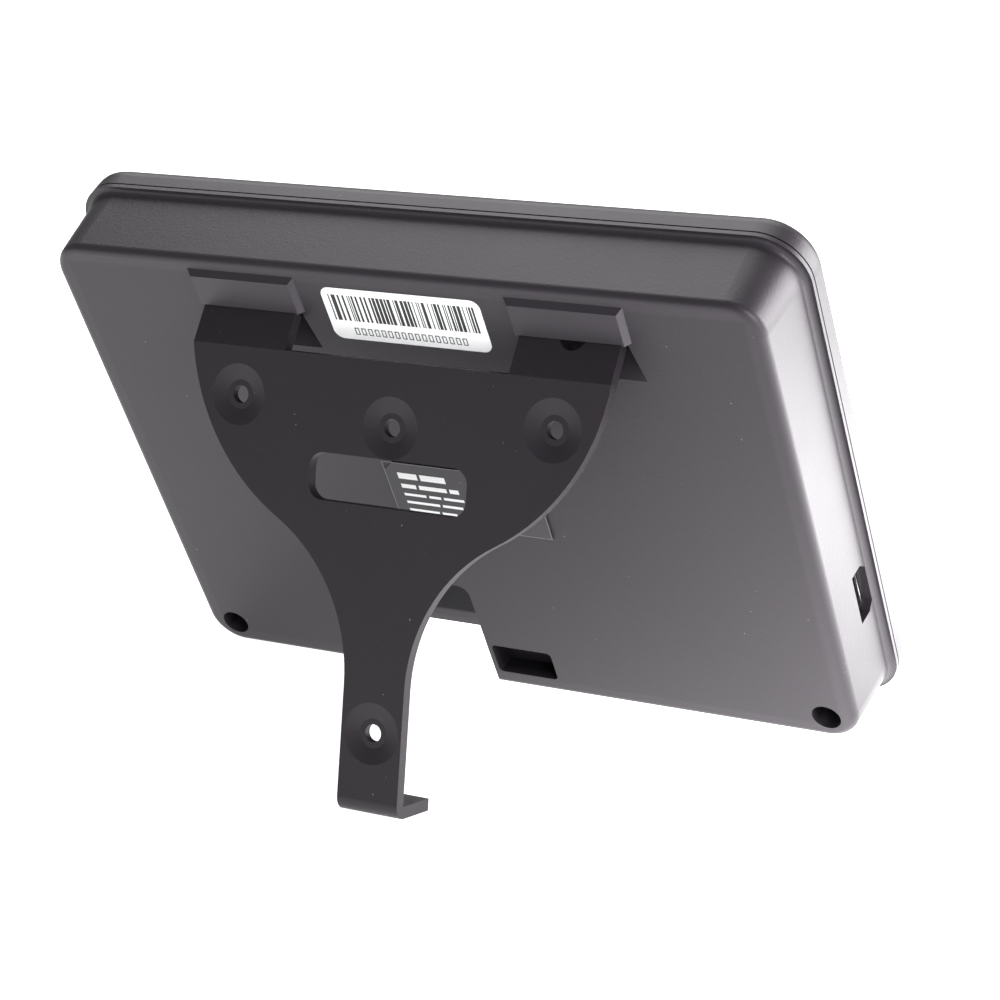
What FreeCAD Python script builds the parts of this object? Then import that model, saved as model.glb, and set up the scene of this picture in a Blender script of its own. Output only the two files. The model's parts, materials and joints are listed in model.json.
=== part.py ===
"""Fingerprint scanner terminal for a desk or a wall, standing on its own mounting bracket.

The case is drawn upright: X to the right seen from the front, +Y out of the back, +Z up the case, with the
origin in the middle of the back face. At the end the whole assembly is leaned back until the case's lower
back edge and the tip of the bracket's foot both stand on Z = 0. Lengths are millimetres, angles degrees.
"""

import FreeCAD, Part
import math
import os

import Sketcher

Vector = FreeCAD.Vector
Rotation = FreeCAD.Rotation
Placement = FreeCAD.Placement

SIZES = {
    # rear housing
    "face_width": 182.0,        # flat back face
    "face_height": 132.0,
    "face_corner": 8.5,
    "back_edge": 2.0,           # rounding round the back face
    "flare": 1.5,               # how far each side wall leans out on its way to the rim
    "rear_depth": 20.3,
    "wall": 2.4,
    "rim_overhang": 3.4,        # how far the rim, where the two halves meet, stands out past the back face
    "rim_corner": 12.0,
    "rim_lip": 1.1,
    "rim_cove": 1.5,
    "boss_radius": 3.0,
    # front cover
    "front_depth": 7.7,
    "front_edge": 4.2,
    "seam_gap": 0.4,
    "tongue_depth": 2.0,
    "tongue_thick": 1.2,
    "fit_gap": 0.3,             # between pieces that are laid into each other
    # bracket tabs, and what holds them
    "bracket_shift": -3.4,      # middle of the bracket, ledges and labels
    "tab_inside": 28.9,
    "tab_outside": 53.7,
    "tab_length": 14.0,
    "tab_notch_radius": 3.4,
    "tab_notch_side": 42.0,
    "tab_notch_up": 10.6,
    "slot_gap": 0.35,
    "ledge_overhang": 1.9,      # ledge beyond the tab at each end
    "ledge_inset": 3.2,         # top of the ledges below the top of the back face
    "ledge_tall": 9.75,
    "ledge_height": 1.4,
    "ledge_bevel": 1.1,
    "ramp_length": 10.65,
    "ramp_flare": 2.6,
    "ramp_depth": 3.4,
    "pocket_depth": 7.4,
    # bracket
    "bracket_angle": 38.6,      # bracket plate to back face
    "tab_exposed": 8.86,        # tab between its bend and the ledge
    "plate_thick": 2.9,
    "plate_top": 32.5,          # bend line, above the middle of the plate
    "plate_bottom": 70.5,
    "tab_bend": 24.0,
    "bulge_radius": 51.8,
    "bulge_side": 2.4,
    "bulge_centre": 39.3,
    "stem_half": 7.9,
    "stem_start": 40.9,
    "foot_length": 14.6,
    "foot_bend": 3.4,
    "window_half": 20.4,
    "window_low": -0.3,
    "window_high": 10.6,
    "window_corner": 3.6,
    "hole_radius": 2.05,
    "sink_floor_radius": 3.4,   # flat ring round a screw hole, at the bottom of its countersink
    "sink_radius": 7.1,
    "sink_depth": 1.0,
    "outer_hole_side": 40.6,
    "outer_hole_up": 21.4,
    "middle_hole_up": 17.7,
    "stem_hole_down": 51.6,
    # recess for the foot, cable bay and screw wells
    "recess_left": -11.7,
    "recess_right": 4.8,
    "recess_up": 4.6,           # above the bottom of the back face
    "recess_tall": 9.2,
    "recess_depth": 5.0,
    "recess_corner": 1.2,
    "bay_left": 6.0,
    "bay_right": 42.0,
    "bay_tall": 33.8,
    "bay_corner": 3.0,
    "bay_wall": 1.2,
    "bay_floor": 18.1,          # depth of the bay's floor below the back face
    "bay_floor_thick": 1.6,
    "well_inset_side": 7.7,
    "well_inset_low": 6.8,
    "well_radius": 3.65,
    "well_wall": 1.8,
    "well_depth": 15.0,
    # labels on the back
    "label_left": -23.6,
    "label_right": 17.3,
    "sticker_inset": 5.0,       # below the top of the back face
    "sticker_tall": 14.8,
    "sticker_corner": 2.4,
    "sticker_thick": 0.15,
    "plate_low": -10.8,
    "plate_high": 8.4,
    "plate_chamfer": 3.0,
    "nameplate_thick": 0.5,
    # boards
    "board_front": 17.7,        # depth of the main board's front face below the back face
    "board_thick": 1.6,
    "board_inset_side": 5.0,    # left of the main board inside the back face's edge
    "board_inset_top": 10.0,
    "board_inset_low": 24.0,
    "board_past_bay": 10.0,
    "board_from_bay": 4.0,
    "board_over_bay": 3.7,
    "board_hole_inset": 6.0,
    "screw_radius": 1.5,
    "screw_head_radius": 2.6,
    "screw_head_thick": 1.9,
    "screw_recess_width": 0.8,
    "screw_recess_length": 3.2,
    "screw_recess_depth": 1.0,
    "screw_clearance": 0.2,
    "post_hole_depth": 8.0,
    "post_hole_stop": 0.6,      # cover left under a screw hole in its post
    "low_post_shift": 8.0,      # lower left board screw, in from the others
    # what stands on the main board, measured from the display's middle or the cable bay
    "processor_side": 14.0,
    "processor_right": 14.0,    # of the display's middle
    "processor_down": 4.0,
    "chip_thick": 1.3,
    "memory_width": 18.0,
    "memory_height": 12.0,
    "memory_up": 18.0,          # above the processor
    "flash_width": 8.0,
    "flash_height": 12.5,
    "flash_left": 20.0,         # of the processor
    "transformer_width": 12.5,
    "transformer_height": 9.5,
    "transformer_thick": 5.0,
    "above_sockets": 32.2,      # transformer and inductor above the top of the cable bay
    "inductor_side": 7.5,
    "inductor_thick": 4.0,
    "inductor_right": 4.0,      # of the power socket
    "capacitor_radius": 3.15,
    "capacitor_tall": 7.7,
    "capacitor_pitch": 8.0,
    "capacitor_up": 14.0,       # above the inductor
    "relay_width": 10.0,
    "relay_height": 15.0,
    "relay_thick": 8.5,
    "relay_up": 18.0,           # above the capacitors
    "cell_radius": 10.0,
    "cell_thick": 3.2,
    "cell_floor": 1.0,
    "cell_holder_wall": 1.1,
    "cell_left": 24.0,          # of the display's middle
    "cell_down": 22.0,
    # keypad
    "keypad_inset": 40.5,       # middle of the keypad from the side of the back face
    "keypad_centre_z": 4.0,
    "key_pitch_x": 15.2,
    "key_pitch_z": 14.2,
    "key_space_x": 3.2,         # between neighbouring keys
    "key_space_z": 3.8,
    "key_corner": 2.2,
    "key_edge": 0.7,
    "key_proud": 1.2,
    "key_flange": 1.0,
    "key_flange_thick": 0.9,
    "key_travel": 0.8,
    "key_gap": 0.1,             # left between a pressed key and its dome
    "dome_radius": 3.6,
    "dome_height": 0.9,
    "membrane_thick": 1.2,
    "membrane_margin": 1.6,
    "key_board_thick": 1.2,
    "key_board_margin": 3.0,
    "key_screw_inset": 1.9,
    "key_screw_over": 3.0,      # above and below the keypad's outer keys
    "key_screw_under": 2.6,
    "tail_width": 12.0,
    "tail_inset": 4.0,
    "tail_drop": 7.0,           # keypad's ribbon below the status light
    # display
    "screen_width": 58.0,
    "screen_height": 44.0,
    "screen_glass_thick": 1.0,
    "screen_glass_border": 2.0,
    "screen_frame_border": 3.4,
    "screen_frame_thick": 3.4,
    "ribbon_width": 14.0,
    "ribbon_thick": 0.3,
    "ribbon_run": 8.0,
    "ribbon_out": 6.0,
    "lens_inset": 9.0,
    "lens_inset_top": 10.0,
    "lens_tall": 64.0,
    "lens_to_keys": 7.7,
    "lens_corner": 4.0,
    "lens_thick": 1.2,
    # fingerprint sensor
    "sensor_up": 29.0,          # middle of the sensor above the bottom of the back face
    "platen_width": 18.4,
    "platen_height": 22.4,
    "platen_proud": 0.3,
    "prism_depth": 7.2,
    "bezel_width": 33.0,
    "bezel_height": 37.0,
    "bezel_corner": 7.0,
    "bezel_proud": 1.1,
    "bezel_neck": 3.0,
    "sensor_body_width": 26.0,
    "sensor_body_height": 30.0,
    "sensor_body_thick": 6.0,
    "sensor_board_thick": 1.0,
    "sensor_plug_width": 10.0,
    "sensor_plug_height": 4.0,
    "platen_corner": 1.5,
    # sockets
    "usb_up": 35.6,             # middle of the port above the bottom of the back face
    "usb_depth": 14.7,          # centre of the port below the back face
    "usb_width": 13.1,
    "usb_height": 5.7,
    "usb_sheet": 0.3,
    "usb_length": 14.0,
    "usb_recess": 1.6,
    "usb_mouth_margin": 0.8,    # opening in the case round the port
    "usb_mouth_clip": 2.0,      # corners cut off the opening on its side towards the seam
    "usb_tongue_width": 11.1,
    "usb_tongue_thick": 1.84,
    "usb_tongue_set_back": 0.8,
    "usb_tongue_gap": 1.0,      # under the shell's top
    "usb_back_length": 3.0,
    "contact_pitch": 2.25,
    "contact_width": 1.0,
    "contact_thick": 0.2,
    "net_x": 16.0,
    "net_width": 16.0,
    "net_height": 13.2,
    "net_length": 21.0,
    "net_port_width": 11.8,
    "net_port_height": 7.8,
    "net_port_depth": 13.0,
    "net_port_up": 2.2,         # above the board
    "net_latch_width": 6.0,
    "net_latch_tall": 1.6,
    "net_pin_pitch": 1.02,
    "net_pin_width": 0.4,
    "net_pin_start": 1.5,
    "jack_x": 32.0,
    "jack_width": 9.0,
    "jack_height": 11.0,
    "jack_length": 14.2,
    "jack_hole_radius": 3.0,
    "jack_hole_depth": 9.5,
    "jack_pin_radius": 1.0,
    "jack_pin_start": 1.0,
    # speaker and status light
    "speaker_inset_side": 19.0,
    "speaker_up": 20.0,
    "speaker_radius": 10.0,
    "speaker_thick": 4.2,
    "speaker_magnet_thick": 1.2,
    "speaker_rim": 1.2,
    "speaker_cone_thick": 0.5,
    "speaker_hole_radius": 0.9,
    "speaker_hole_ring": 4.2,
    "light_inset": 18.5,
    "light_width": 14.0,
    "light_height": 3.0,
    "light_corner": 1.4,
    "led_width": 3.0,
    "led_height": 2.0,
    "led_thick": 1.0,
}

doc = FreeCAD.newDocument("fingerprint_terminal")
sheet = doc.addObject("Spreadsheet::Sheet", "Sizes")
for row, (alias, number) in enumerate(SIZES.items(), start=1):
    sheet.set("A%d" % row, alias)
    sheet.set("B%d" % row, str(number))
    sheet.setAlias("B%d" % row, alias)
doc.recompute()


class Size:
    """A number together with the sheet expression that it comes from."""

    def __init__(self, number, text):
        self.number = float(number)
        self.text = text

    @staticmethod
    def of(value):
        return value if isinstance(value, Size) else Size(value, repr(float(value)))

    def _joined(self, sign, other, number):
        return Size(number, "(%s %s %s)" % (self.text, sign, other.text))

    def __add__(self, other):
        other = Size.of(other)
        return self._joined("+", other, self.number + other.number)

    def __sub__(self, other):
        other = Size.of(other)
        return self._joined("-", other, self.number - other.number)

    def __mul__(self, other):
        other = Size.of(other)
        return self._joined("*", other, self.number * other.number)

    def __truediv__(self, other):
        other = Size.of(other)
        return self._joined("/", other, self.number / other.number)

    def __radd__(self, other):
        return Size.of(other) + self

    def __rsub__(self, other):
        return Size.of(other) - self

    def __rmul__(self, other):
        return Size.of(other) * self

    def __neg__(self):
        return Size(-self.number, "(-%s)" % self.text)


def size(alias):
    return Size(getattr(sheet, alias), "Sizes." + alias)


def sine(angle):
    return Size(math.sin(math.radians(angle.number)), "sin(%s)" % angle.text)


def cosine(angle):
    return Size(math.cos(math.radians(angle.number)), "cos(%s)" % angle.text)


nodes = {}                      # label: the object that is exported under that name


def bind(item, prop, value):
    item.setExpression(prop, Size.of(value).text)


def node(label, item):
    """Names a finished sub-part. One whose place comes from the sheet is wrapped, so that it can be stood up."""
    if any(path.startswith("Placement") or path.startswith(".Placement") for path, _ in item.ExpressionEngine):
        item = together(label + "_piece", item)
    item.Label = label
    nodes[label] = item
    return item


def about(centre, width):
    return (centre - width / 2, centre + width / 2)


# --- primitives and booleans -------------------------------------------------------------------------------

def block(name, x, y, z):
    """A box between (low, high) pairs along X, Y and Z."""
    item = doc.addObject("Part::Box", name)
    for prop, axis, (low, high) in (("Length", "x", x), ("Width", "y", y), ("Height", "z", z)):
        bind(item, prop, Size.of(high) - low)
        bind(item, "Placement.Base." + axis, low)
    return item


def rod(name, x, y, z, radius):
    """A cylinder along the one axis that is given as a (low, high) pair."""
    item = doc.addObject("Part::Cylinder", name)
    bind(item, "Radius", radius)
    turns = {"x": Rotation(Vector(0, 1, 0), 90), "y": Rotation(Vector(1, 0, 0), -90), "z": Rotation()}
    for axis, place in (("x", x), ("y", y), ("z", z)):
        if isinstance(place, tuple):
            item.Placement = Placement(Vector(), turns[axis])
            bind(item, "Height", Size.of(place[1]) - place[0])
            span = axis
    for axis, place in (("x", x), ("y", y), ("z", z)):
        bind(item, "Placement.Base." + axis, place[0] if axis == span else place)
    return item


def countersink(name, x, z):
    """A cone that opens towards +Y and reaches its full radius at Y = 0."""
    low, high, depth = size("sink_floor_radius"), size("sink_radius"), size("sink_depth")
    item = doc.addObject("Part::Cone", name)
    item.Placement = Placement(Vector(), Rotation(Vector(1, 0, 0), -90))
    bind(item, "Radius1", low)
    bind(item, "Radius2", 2 * high - low)
    bind(item, "Height", 2 * depth)
    for axis, place in (("x", x), ("y", -depth), ("z", z)):
        bind(item, "Placement.Base." + axis, place)
    return item


def joined(name, *items):
    item = doc.addObject("Part::MultiFuse", name)
    item.Shapes = list(items)
    return item


def without(name, base, *tools):
    """The base with every tool cut out of it."""
    item = doc.addObject("Part::Cut", name)
    item.Base = base
    item.Tool = tools[0] if len(tools) == 1 else joined(name + "_tools", *tools)
    return item


def together(name, *items):
    """Separate solids that share one node."""
    item = doc.addObject("Part::Compound", name)
    item.Links = list(items)
    return item


def rounded(name, base, radius, chosen, kind="Part::Fillet"):
    """The base with a fillet or chamfer on each edge that passes the test."""
    doc.recompute()
    item = doc.addObject(kind, name)
    item.Base = base
    width = Size.of(radius).number
    item.Edges = [(i, width, width) for i, edge in enumerate(base.Shape.Edges, start=1) if chosen(edge)]
    if not item.Edges:
        raise RuntimeError(name + ": no edge to round")
    return item


def edge_lies(edge, axis, place, slack=0.01):
    """Whether the whole edge lies in the plane square to the axis at that place."""
    box = edge.BoundBox
    low, high = {"x": (box.XMin, box.XMax), "y": (box.YMin, box.YMax), "z": (box.ZMin, box.ZMax)}[axis]
    return abs(low - place) < slack and abs(high - place) < slack


# --- sketches and padded bodies ----------------------------------------------------------------------------

def pin_point(sketch, geometry, end, x, z):
    """Ties one end of a sketch element to a place that the sheet gives."""
    for kind, value in (("DistanceX", x), ("DistanceY", z)):
        value = Size.of(value)
        index = sketch.addConstraint(Sketcher.Constraint(kind, -1, 1, geometry, end, value.number))
        bind(sketch, "Constraints[%d]" % index, value)


def draw_polygon(sketch, points):
    places = [Vector(Size.of(x).number, Size.of(z).number, 0) for x, z in points]
    for here, there in zip(places, places[1:] + places[:1]):
        sketch.addGeometry(Part.LineSegment(here, there), False)
    for i, (x, z) in enumerate(points):
        sketch.addConstraint(Sketcher.Constraint("Coincident", i - 1 if i else len(points) - 1, 2, i, 1))
        pin_point(sketch, i, 1, x, z)


def draw_rounded_rectangle(sketch, x, z, corner):
    """A rectangle between (low, high) pairs with four equal round corners."""
    (left, right), (low, high) = [[Size.of(v) for v in pair] for pair in (x, z)]
    corner = Size.of(corner)
    r = corner.number
    x0, x1, z0, z1 = left.number, right.number, low.number, high.number
    starts = [Vector(x0 + r, z0, 0), Vector(x1, z0 + r, 0), Vector(x1 - r, z1, 0), Vector(x0, z1 - r, 0)]
    ends = [Vector(x1 - r, z0, 0), Vector(x1, z1 - r, 0), Vector(x0 + r, z1, 0), Vector(x0, z0 + r, 0)]
    for here, there in zip(starts, ends):
        sketch.addGeometry(Part.LineSegment(here, there), False)
    centres = [Vector(x1 - r, z0 + r, 0), Vector(x1 - r, z1 - r, 0), Vector(x0 + r, z1 - r, 0),
               Vector(x0 + r, z0 + r, 0)]
    for quarter, centre in enumerate(centres):
        first = math.radians(90 * quarter - 90)
        circle = Part.Circle(centre, Vector(0, 0, 1), r)
        sketch.addGeometry(Part.ArcOfCircle(circle, first, first + math.pi / 2), False)
    for side in range(4):
        arc = 4 + side
        sketch.addConstraint(Sketcher.Constraint("Tangent", side, 2, arc, 1))
        sketch.addConstraint(Sketcher.Constraint("Tangent", arc, 2, (side + 1) % 4, 1))
        sketch.addConstraint(Sketcher.Constraint("Horizontal" if side % 2 == 0 else "Vertical", side))
    for arc in (5, 6, 7):
        sketch.addConstraint(Sketcher.Constraint("Equal", 4, arc))
    index = sketch.addConstraint(Sketcher.Constraint("Radius", 4, r))
    bind(sketch, "Constraints[%d]" % index, corner)
    for kind, geometry, value in (("DistanceY", 0, low), ("DistanceX", 1, right), ("DistanceY", 2, high),
                                  ("DistanceX", 3, left)):
        index = sketch.addConstraint(Sketcher.Constraint(kind, -1, 1, geometry, 1, value.number))
        bind(sketch, "Constraints[%d]" % index, value)


def new_body(name):
    return doc.addObject("PartDesign::Body", name)


def sketch_in(body, name, y):
    """A sketch in the body, square to Y at y: its own x is X and its own y is Z."""
    plane = next(o for o in body.Origin.OriginFeatures if o.Role == "XZ_Plane")
    sketch = body.newObject("Sketcher::SketchObject", name)
    sketch.AttachmentSupport = [(plane, "")]
    sketch.MapMode = "FlatFace"
    bind(sketch, "AttachmentOffset.Base.z", -Size.of(y))
    return sketch


def pad(body, sketch, y):
    """Pads a sketch that lies at y's high end down to its low end."""
    item = body.newObject("PartDesign::Pad", sketch.Name + "_pad")
    item.Profile = sketch
    bind(item, "Length", Size.of(y[1]) - y[0])
    return item


def plate(name, x, y, z, corner):
    """A body: a plate square to Y with round corners."""
    body = new_body(name)
    sketch = sketch_in(body, name + "_outline", y[1])
    draw_rounded_rectangle(sketch, x, z, corner)
    pad(body, sketch, y)
    return body


def polygon_plate(name, points, y):
    """A body: a plate square to Y with a straight-sided outline."""
    body = new_body(name)
    sketch = sketch_in(body, name + "_outline", y[1])
    draw_polygon(sketch, points)
    pad(body, sketch, y)
    return body


def tapered(name, near, far):
    """A loft between two rounded rectangles, each given as (x, z, corner, y)."""
    sections = []
    for i, (x, z, corner, y) in enumerate((near, far)):
        sketch = doc.addObject("Sketcher::SketchObject", "%s_section_%d" % (name, i))
        sketch.Placement = Placement(Vector(), Rotation(Vector(1, 0, 0), 90))
        bind(sketch, "Placement.Base.y", y)
        draw_rounded_rectangle(sketch, x, z, corner)
        sections.append(sketch)
    item = doc.addObject("Part::Loft", name)
    item.Sections = sections
    item.Solid = True
    item.Ruled = True
    return item


def screw(name, x, z, head_y, tip_y):
    """A pan-head screw along Y with a cross recess; the head stands from head_y away from the tip."""
    away = 1 if Size.of(head_y).number > Size.of(tip_y).number else -1
    head_end = head_y + away * size("screw_head_thick")
    recess_end = head_end - away * size("screw_recess_depth")
    spans = [tuple(sorted(pair, key=lambda v: v.number)) for pair in
             ((tip_y, head_y), (head_y, head_end), (recess_end, head_end))]
    shank = rod(name + "_shank", x, spans[0], z, size("screw_radius"))
    head = rod(name + "_head", x, spans[1], z, size("screw_head_radius"))
    long, short = size("screw_recess_length"), size("screw_recess_width")
    slots = [block(name + "_slot_x", about(x, long), spans[2], about(z, short)),
             block(name + "_slot_z", about(x, short), spans[2], about(z, long))]
    return without(name, joined(name + "_blank", shank, head), *slots)


# --- planes that several pieces share ----------------------------------------------------------------------

ZERO = Size.of(0)
BEYOND = Size.of(2)             # how far a cutter runs past the face that it opens
SINK = Size.of(0.6)             # how far an added block reaches into what it joins

wall = size("wall")
gap = size("fit_gap")
seam_y = -size("rear_depth")
cover_back_y = seam_y - size("seam_gap")
front_y = seam_y - size("front_depth")
front_inner_y = front_y + wall
lens_back_y = front_y + size("lens_thick")
board_front_y = -size("board_front")
board_back_y = board_front_y + size("board_thick")
shift = size("bracket_shift")
half_face = (size("face_width") / 2, size("face_height") / 2)
half_rim = (half_face[0] + size("rim_overhang"), half_face[1] + size("rim_overhang"))
lip_back_y = seam_y + size("rim_lip")

face_side, face_top = half_face
face_low = -face_top
ledge_top_z = face_top - size("ledge_inset")
ledge_low_z = ledge_top_z - size("ledge_tall")
ramp_low_z = ledge_low_z - size("ramp_length")
recess_low_z = face_low + size("recess_up")
recess_top_z = recess_low_z + size("recess_tall")
bay_top_z = face_low + size("bay_tall")
well_x = face_side - size("well_inset_side")
well_z = face_low + size("well_inset_low")
board_left_x = -face_side + size("board_inset_side")
board_right_x = size("bay_right") + size("board_past_bay")
board_top_z = face_top - size("board_inset_top")
board_low_z = face_low + size("board_inset_low")
board_bay_x = size("bay_left") - size("board_from_bay")
board_bay_z = bay_top_z + size("board_over_bay")
keypad_x = face_side - size("keypad_inset")
keypad_z = size("keypad_centre_z")
key_width = size("key_pitch_x") - size("key_space_x")
key_height = size("key_pitch_z") - size("key_space_z")
keypad_half_x = 1.5 * size("key_pitch_x") + key_width / 2
keypad_half_z = 1.5 * size("key_pitch_z") + key_height / 2
lens_x = (-face_side + size("lens_inset"), keypad_x - keypad_half_x - size("lens_to_keys"))
lens_top_z = face_top - size("lens_inset_top")
lens_z = (lens_top_z - size("lens_tall"), lens_top_z)
screen_x = (lens_x[0] + lens_x[1]) / 2
screen_z = (lens_z[0] + lens_z[1]) / 2
sensor_x = screen_x
sensor_z = face_low + size("sensor_up")
usb_z = face_low + size("usb_up")
speaker_x = -face_side + size("speaker_inset_side")
speaker_z = face_low + size("speaker_up")
light_z = face_top - size("light_inset")


def outline(half, grow):
    """(x, z) pairs of a rectangle about the origin, grown by that much all round."""
    return tuple((-(h + grow), h + grow) for h in half)


# --- bracket -----------------------------------------------------------------------------------------------
# The bracket is drawn in its own upright frame: Y is out of the plate's outer face, and Z is up the plate.

def draw_bracket_outline(sketch):
    """Two tangent arcs a side between the wide top, the straight stem and the bottom edge."""
    top, bottom = size("plate_top"), -size("plate_bottom")
    stem, start = size("stem_half"), -size("stem_start")
    bulge, side, centre = size("bulge_radius"), size("bulge_side"), size("bulge_centre")
    stem_offset = (stem - side).number
    rise = (start - centre).number
    hollow = (stem_offset ** 2 + rise ** 2 - bulge.number ** 2) / (2 * (bulge.number - stem_offset))
    hollow_x = stem.number + hollow
    lean = math.atan2(rise, hollow_x - side.number)
    drop = top.number - centre.number
    top_half = side.number + math.sqrt(bulge.number ** 2 - drop ** 2)
    touch = Vector(side.number + bulge.number * math.cos(lean), centre.number + bulge.number * math.sin(lean), 0)
    for sign in (1, -1):
        big = Part.Circle(Vector(shift.number + sign * side.number, centre.number, 0), Vector(0, 0, 1), bulge.number)
        small = Part.Circle(Vector(shift.number + sign * hollow_x, start.number, 0), Vector(0, 0, 1), hollow)
        top_angle = math.asin(drop / bulge.number)
        if sign == 1:
            sketch.addGeometry(Part.ArcOfCircle(big, lean, top_angle), False)
            sketch.addGeometry(Part.ArcOfCircle(small, lean + math.pi, math.pi), False)
        else:
            sketch.addGeometry(Part.ArcOfCircle(big, math.pi - top_angle, math.pi - lean), False)
            sketch.addGeometry(Part.ArcOfCircle(small, 0, -lean), False)
    x = [shift.number + v for v in (top_half, -top_half, stem.number, -stem.number)]
    lines = [((x[0], top.number), (x[1], top.number)), ((x[2], start.number), (x[2], bottom.number)),
             ((x[3], start.number), (x[3], bottom.number)), ((x[2], bottom.number), (x[3], bottom.number))]
    for here, there in lines:
        sketch.addGeometry(Part.LineSegment(Vector(*here, 0), Vector(*there, 0)), False)
    right_big, right_small, left_big, left_small, top_line, right_stem, left_stem, bottom_line = range(8)
    joints = [("Coincident", right_big, 2, top_line, 1), ("Coincident", left_big, 1, top_line, 2),
              ("Tangent", right_big, 1, right_small, 1), ("Tangent", left_big, 2, left_small, 2),
              ("Tangent", right_small, 2, right_stem, 1), ("Tangent", left_small, 1, left_stem, 1),
              ("Coincident", right_stem, 2, bottom_line, 1), ("Coincident", left_stem, 2, bottom_line, 2),
              ("Horizontal", top_line), ("Vertical", right_stem), ("Vertical", left_stem),
              ("Equal", right_big, left_big), ("Equal", right_small, left_small)]
    for joint in joints:
        sketch.addConstraint(Sketcher.Constraint(*joint))
    index = sketch.addConstraint(Sketcher.Constraint("Radius", right_big, bulge.number))
    bind(sketch, "Constraints[%d]" % index, bulge)
    pin_point(sketch, right_big, 3, shift + side, centre)
    pin_point(sketch, left_big, 3, shift - side, centre)
    pin_point(sketch, right_stem, 2, shift + stem, bottom)
    pin_point(sketch, left_stem, 2, shift - stem, bottom)
    for kind, geometry, value in (("DistanceY", top_line, top), ("DistanceY", right_stem, start)):
        index = sketch.addConstraint(Sketcher.Constraint(kind, -1, 1, geometry, 1, value.number))
        bind(sketch, "Constraints[%d]" % index, value)


def tilted_block(name, x, y, z, angle, pivot):
    """A block given about the pivot (y, z) and turned about X by the angle."""
    item = block(name, x, y, z)
    item.setExpression("Placement.Base.y", None)
    item.setExpression("Placement.Base.z", None)
    angle, low, high = Size.of(angle), Size.of(y[0]), Size.of(z[0])
    bind(item, "Placement.Base.y", pivot[0] + low * cosine(angle) - high * sine(angle))
    bind(item, "Placement.Base.z", pivot[1] + low * sine(angle) + high * cosine(angle))
    item.Placement = Placement(item.Placement.Base, Rotation(Vector(1, 0, 0), angle.number))
    return item


def tab_spans():
    inside, outside = size("tab_inside"), size("tab_outside")
    return {"left": (shift - outside, shift - inside), "right": (shift + inside, shift + outside)}


def mounting_bracket():
    thick = size("plate_thick")
    body = new_body("bracket_plate")
    sketch = sketch_in(body, "bracket_outline", ZERO)
    draw_bracket_outline(sketch)
    pad(body, sketch, (-thick, ZERO))
    foot = block("bracket_foot", (shift - size("stem_half"), shift + size("stem_half")),
                 (-size("foot_length"), ZERO), (-size("plate_bottom"), -size("plate_bottom") + thick))
    pieces = [body, foot]
    pivot = (ZERO, size("plate_top"))
    for side, span in tab_spans().items():
        pieces.append(tilted_block("bracket_tab_" + side, span, (-thick, ZERO), (ZERO, size("tab_length")),
                                   size("tab_bend"), pivot))
    blank = joined("bracket_blank", *pieces)
    window = plate("bracket_window", (shift - size("window_half"), shift + size("window_half")),
                   (-thick - BEYOND, BEYOND), (size("window_low"), size("window_high")), size("window_corner"))
    cutters = [window]
    holes = [(shift - size("outer_hole_side"), size("outer_hole_up")),
             (shift + size("outer_hole_side"), size("outer_hole_up")),
             (shift, size("middle_hole_up")), (shift, -size("stem_hole_down"))]
    for i, (x, z) in enumerate(holes):
        cutters.append(rod("bracket_hole_%d" % i, x, (-thick - BEYOND, BEYOND), z, size("hole_radius")))
        cutters.append(countersink("bracket_sink_%d" % i, x, z))
    notch_up = size("tab_notch_up")
    notch_y = -notch_up * sine(size("tab_bend"))
    notch = rod("bracket_tab_notch", shift - size("tab_notch_side"), (notch_y - 2 * thick, notch_y + 2 * thick),
                size("plate_top") + notch_up * cosine(size("tab_bend")), size("tab_notch_radius"))
    cutters.append(notch)
    cut = without("bracket_cut", blank, *cutters)
    bottom = -size("plate_bottom").number
    shaped = rounded("bracket_rounded", cut, size("foot_bend"),
                     lambda edge: edge_lies(edge, "z", bottom) and edge_lies(edge, "y", 0)
                     and edge.Length > size("stem_half").number)
    return node("mounting_bracket", shaped)


# --- rear housing ------------------------------------------------------------------------------------------

def bracket_frame_point(y, z):
    """(y, z) in the bracket's frame as (y, z) in the case's frame: the tabs come out from under the ledges."""
    angle, exposed = size("bracket_angle"), size("tab_exposed")
    tab_angle = angle + size("tab_bend")
    bend_y = size("ledge_height") + exposed * sine(tab_angle)
    bend_z = ledge_low_z - exposed * cosine(tab_angle)
    along = z - size("plate_top")
    return (bend_y + y * cosine(angle) - along * sine(angle), bend_z + y * sine(angle) + along * cosine(angle))


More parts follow.
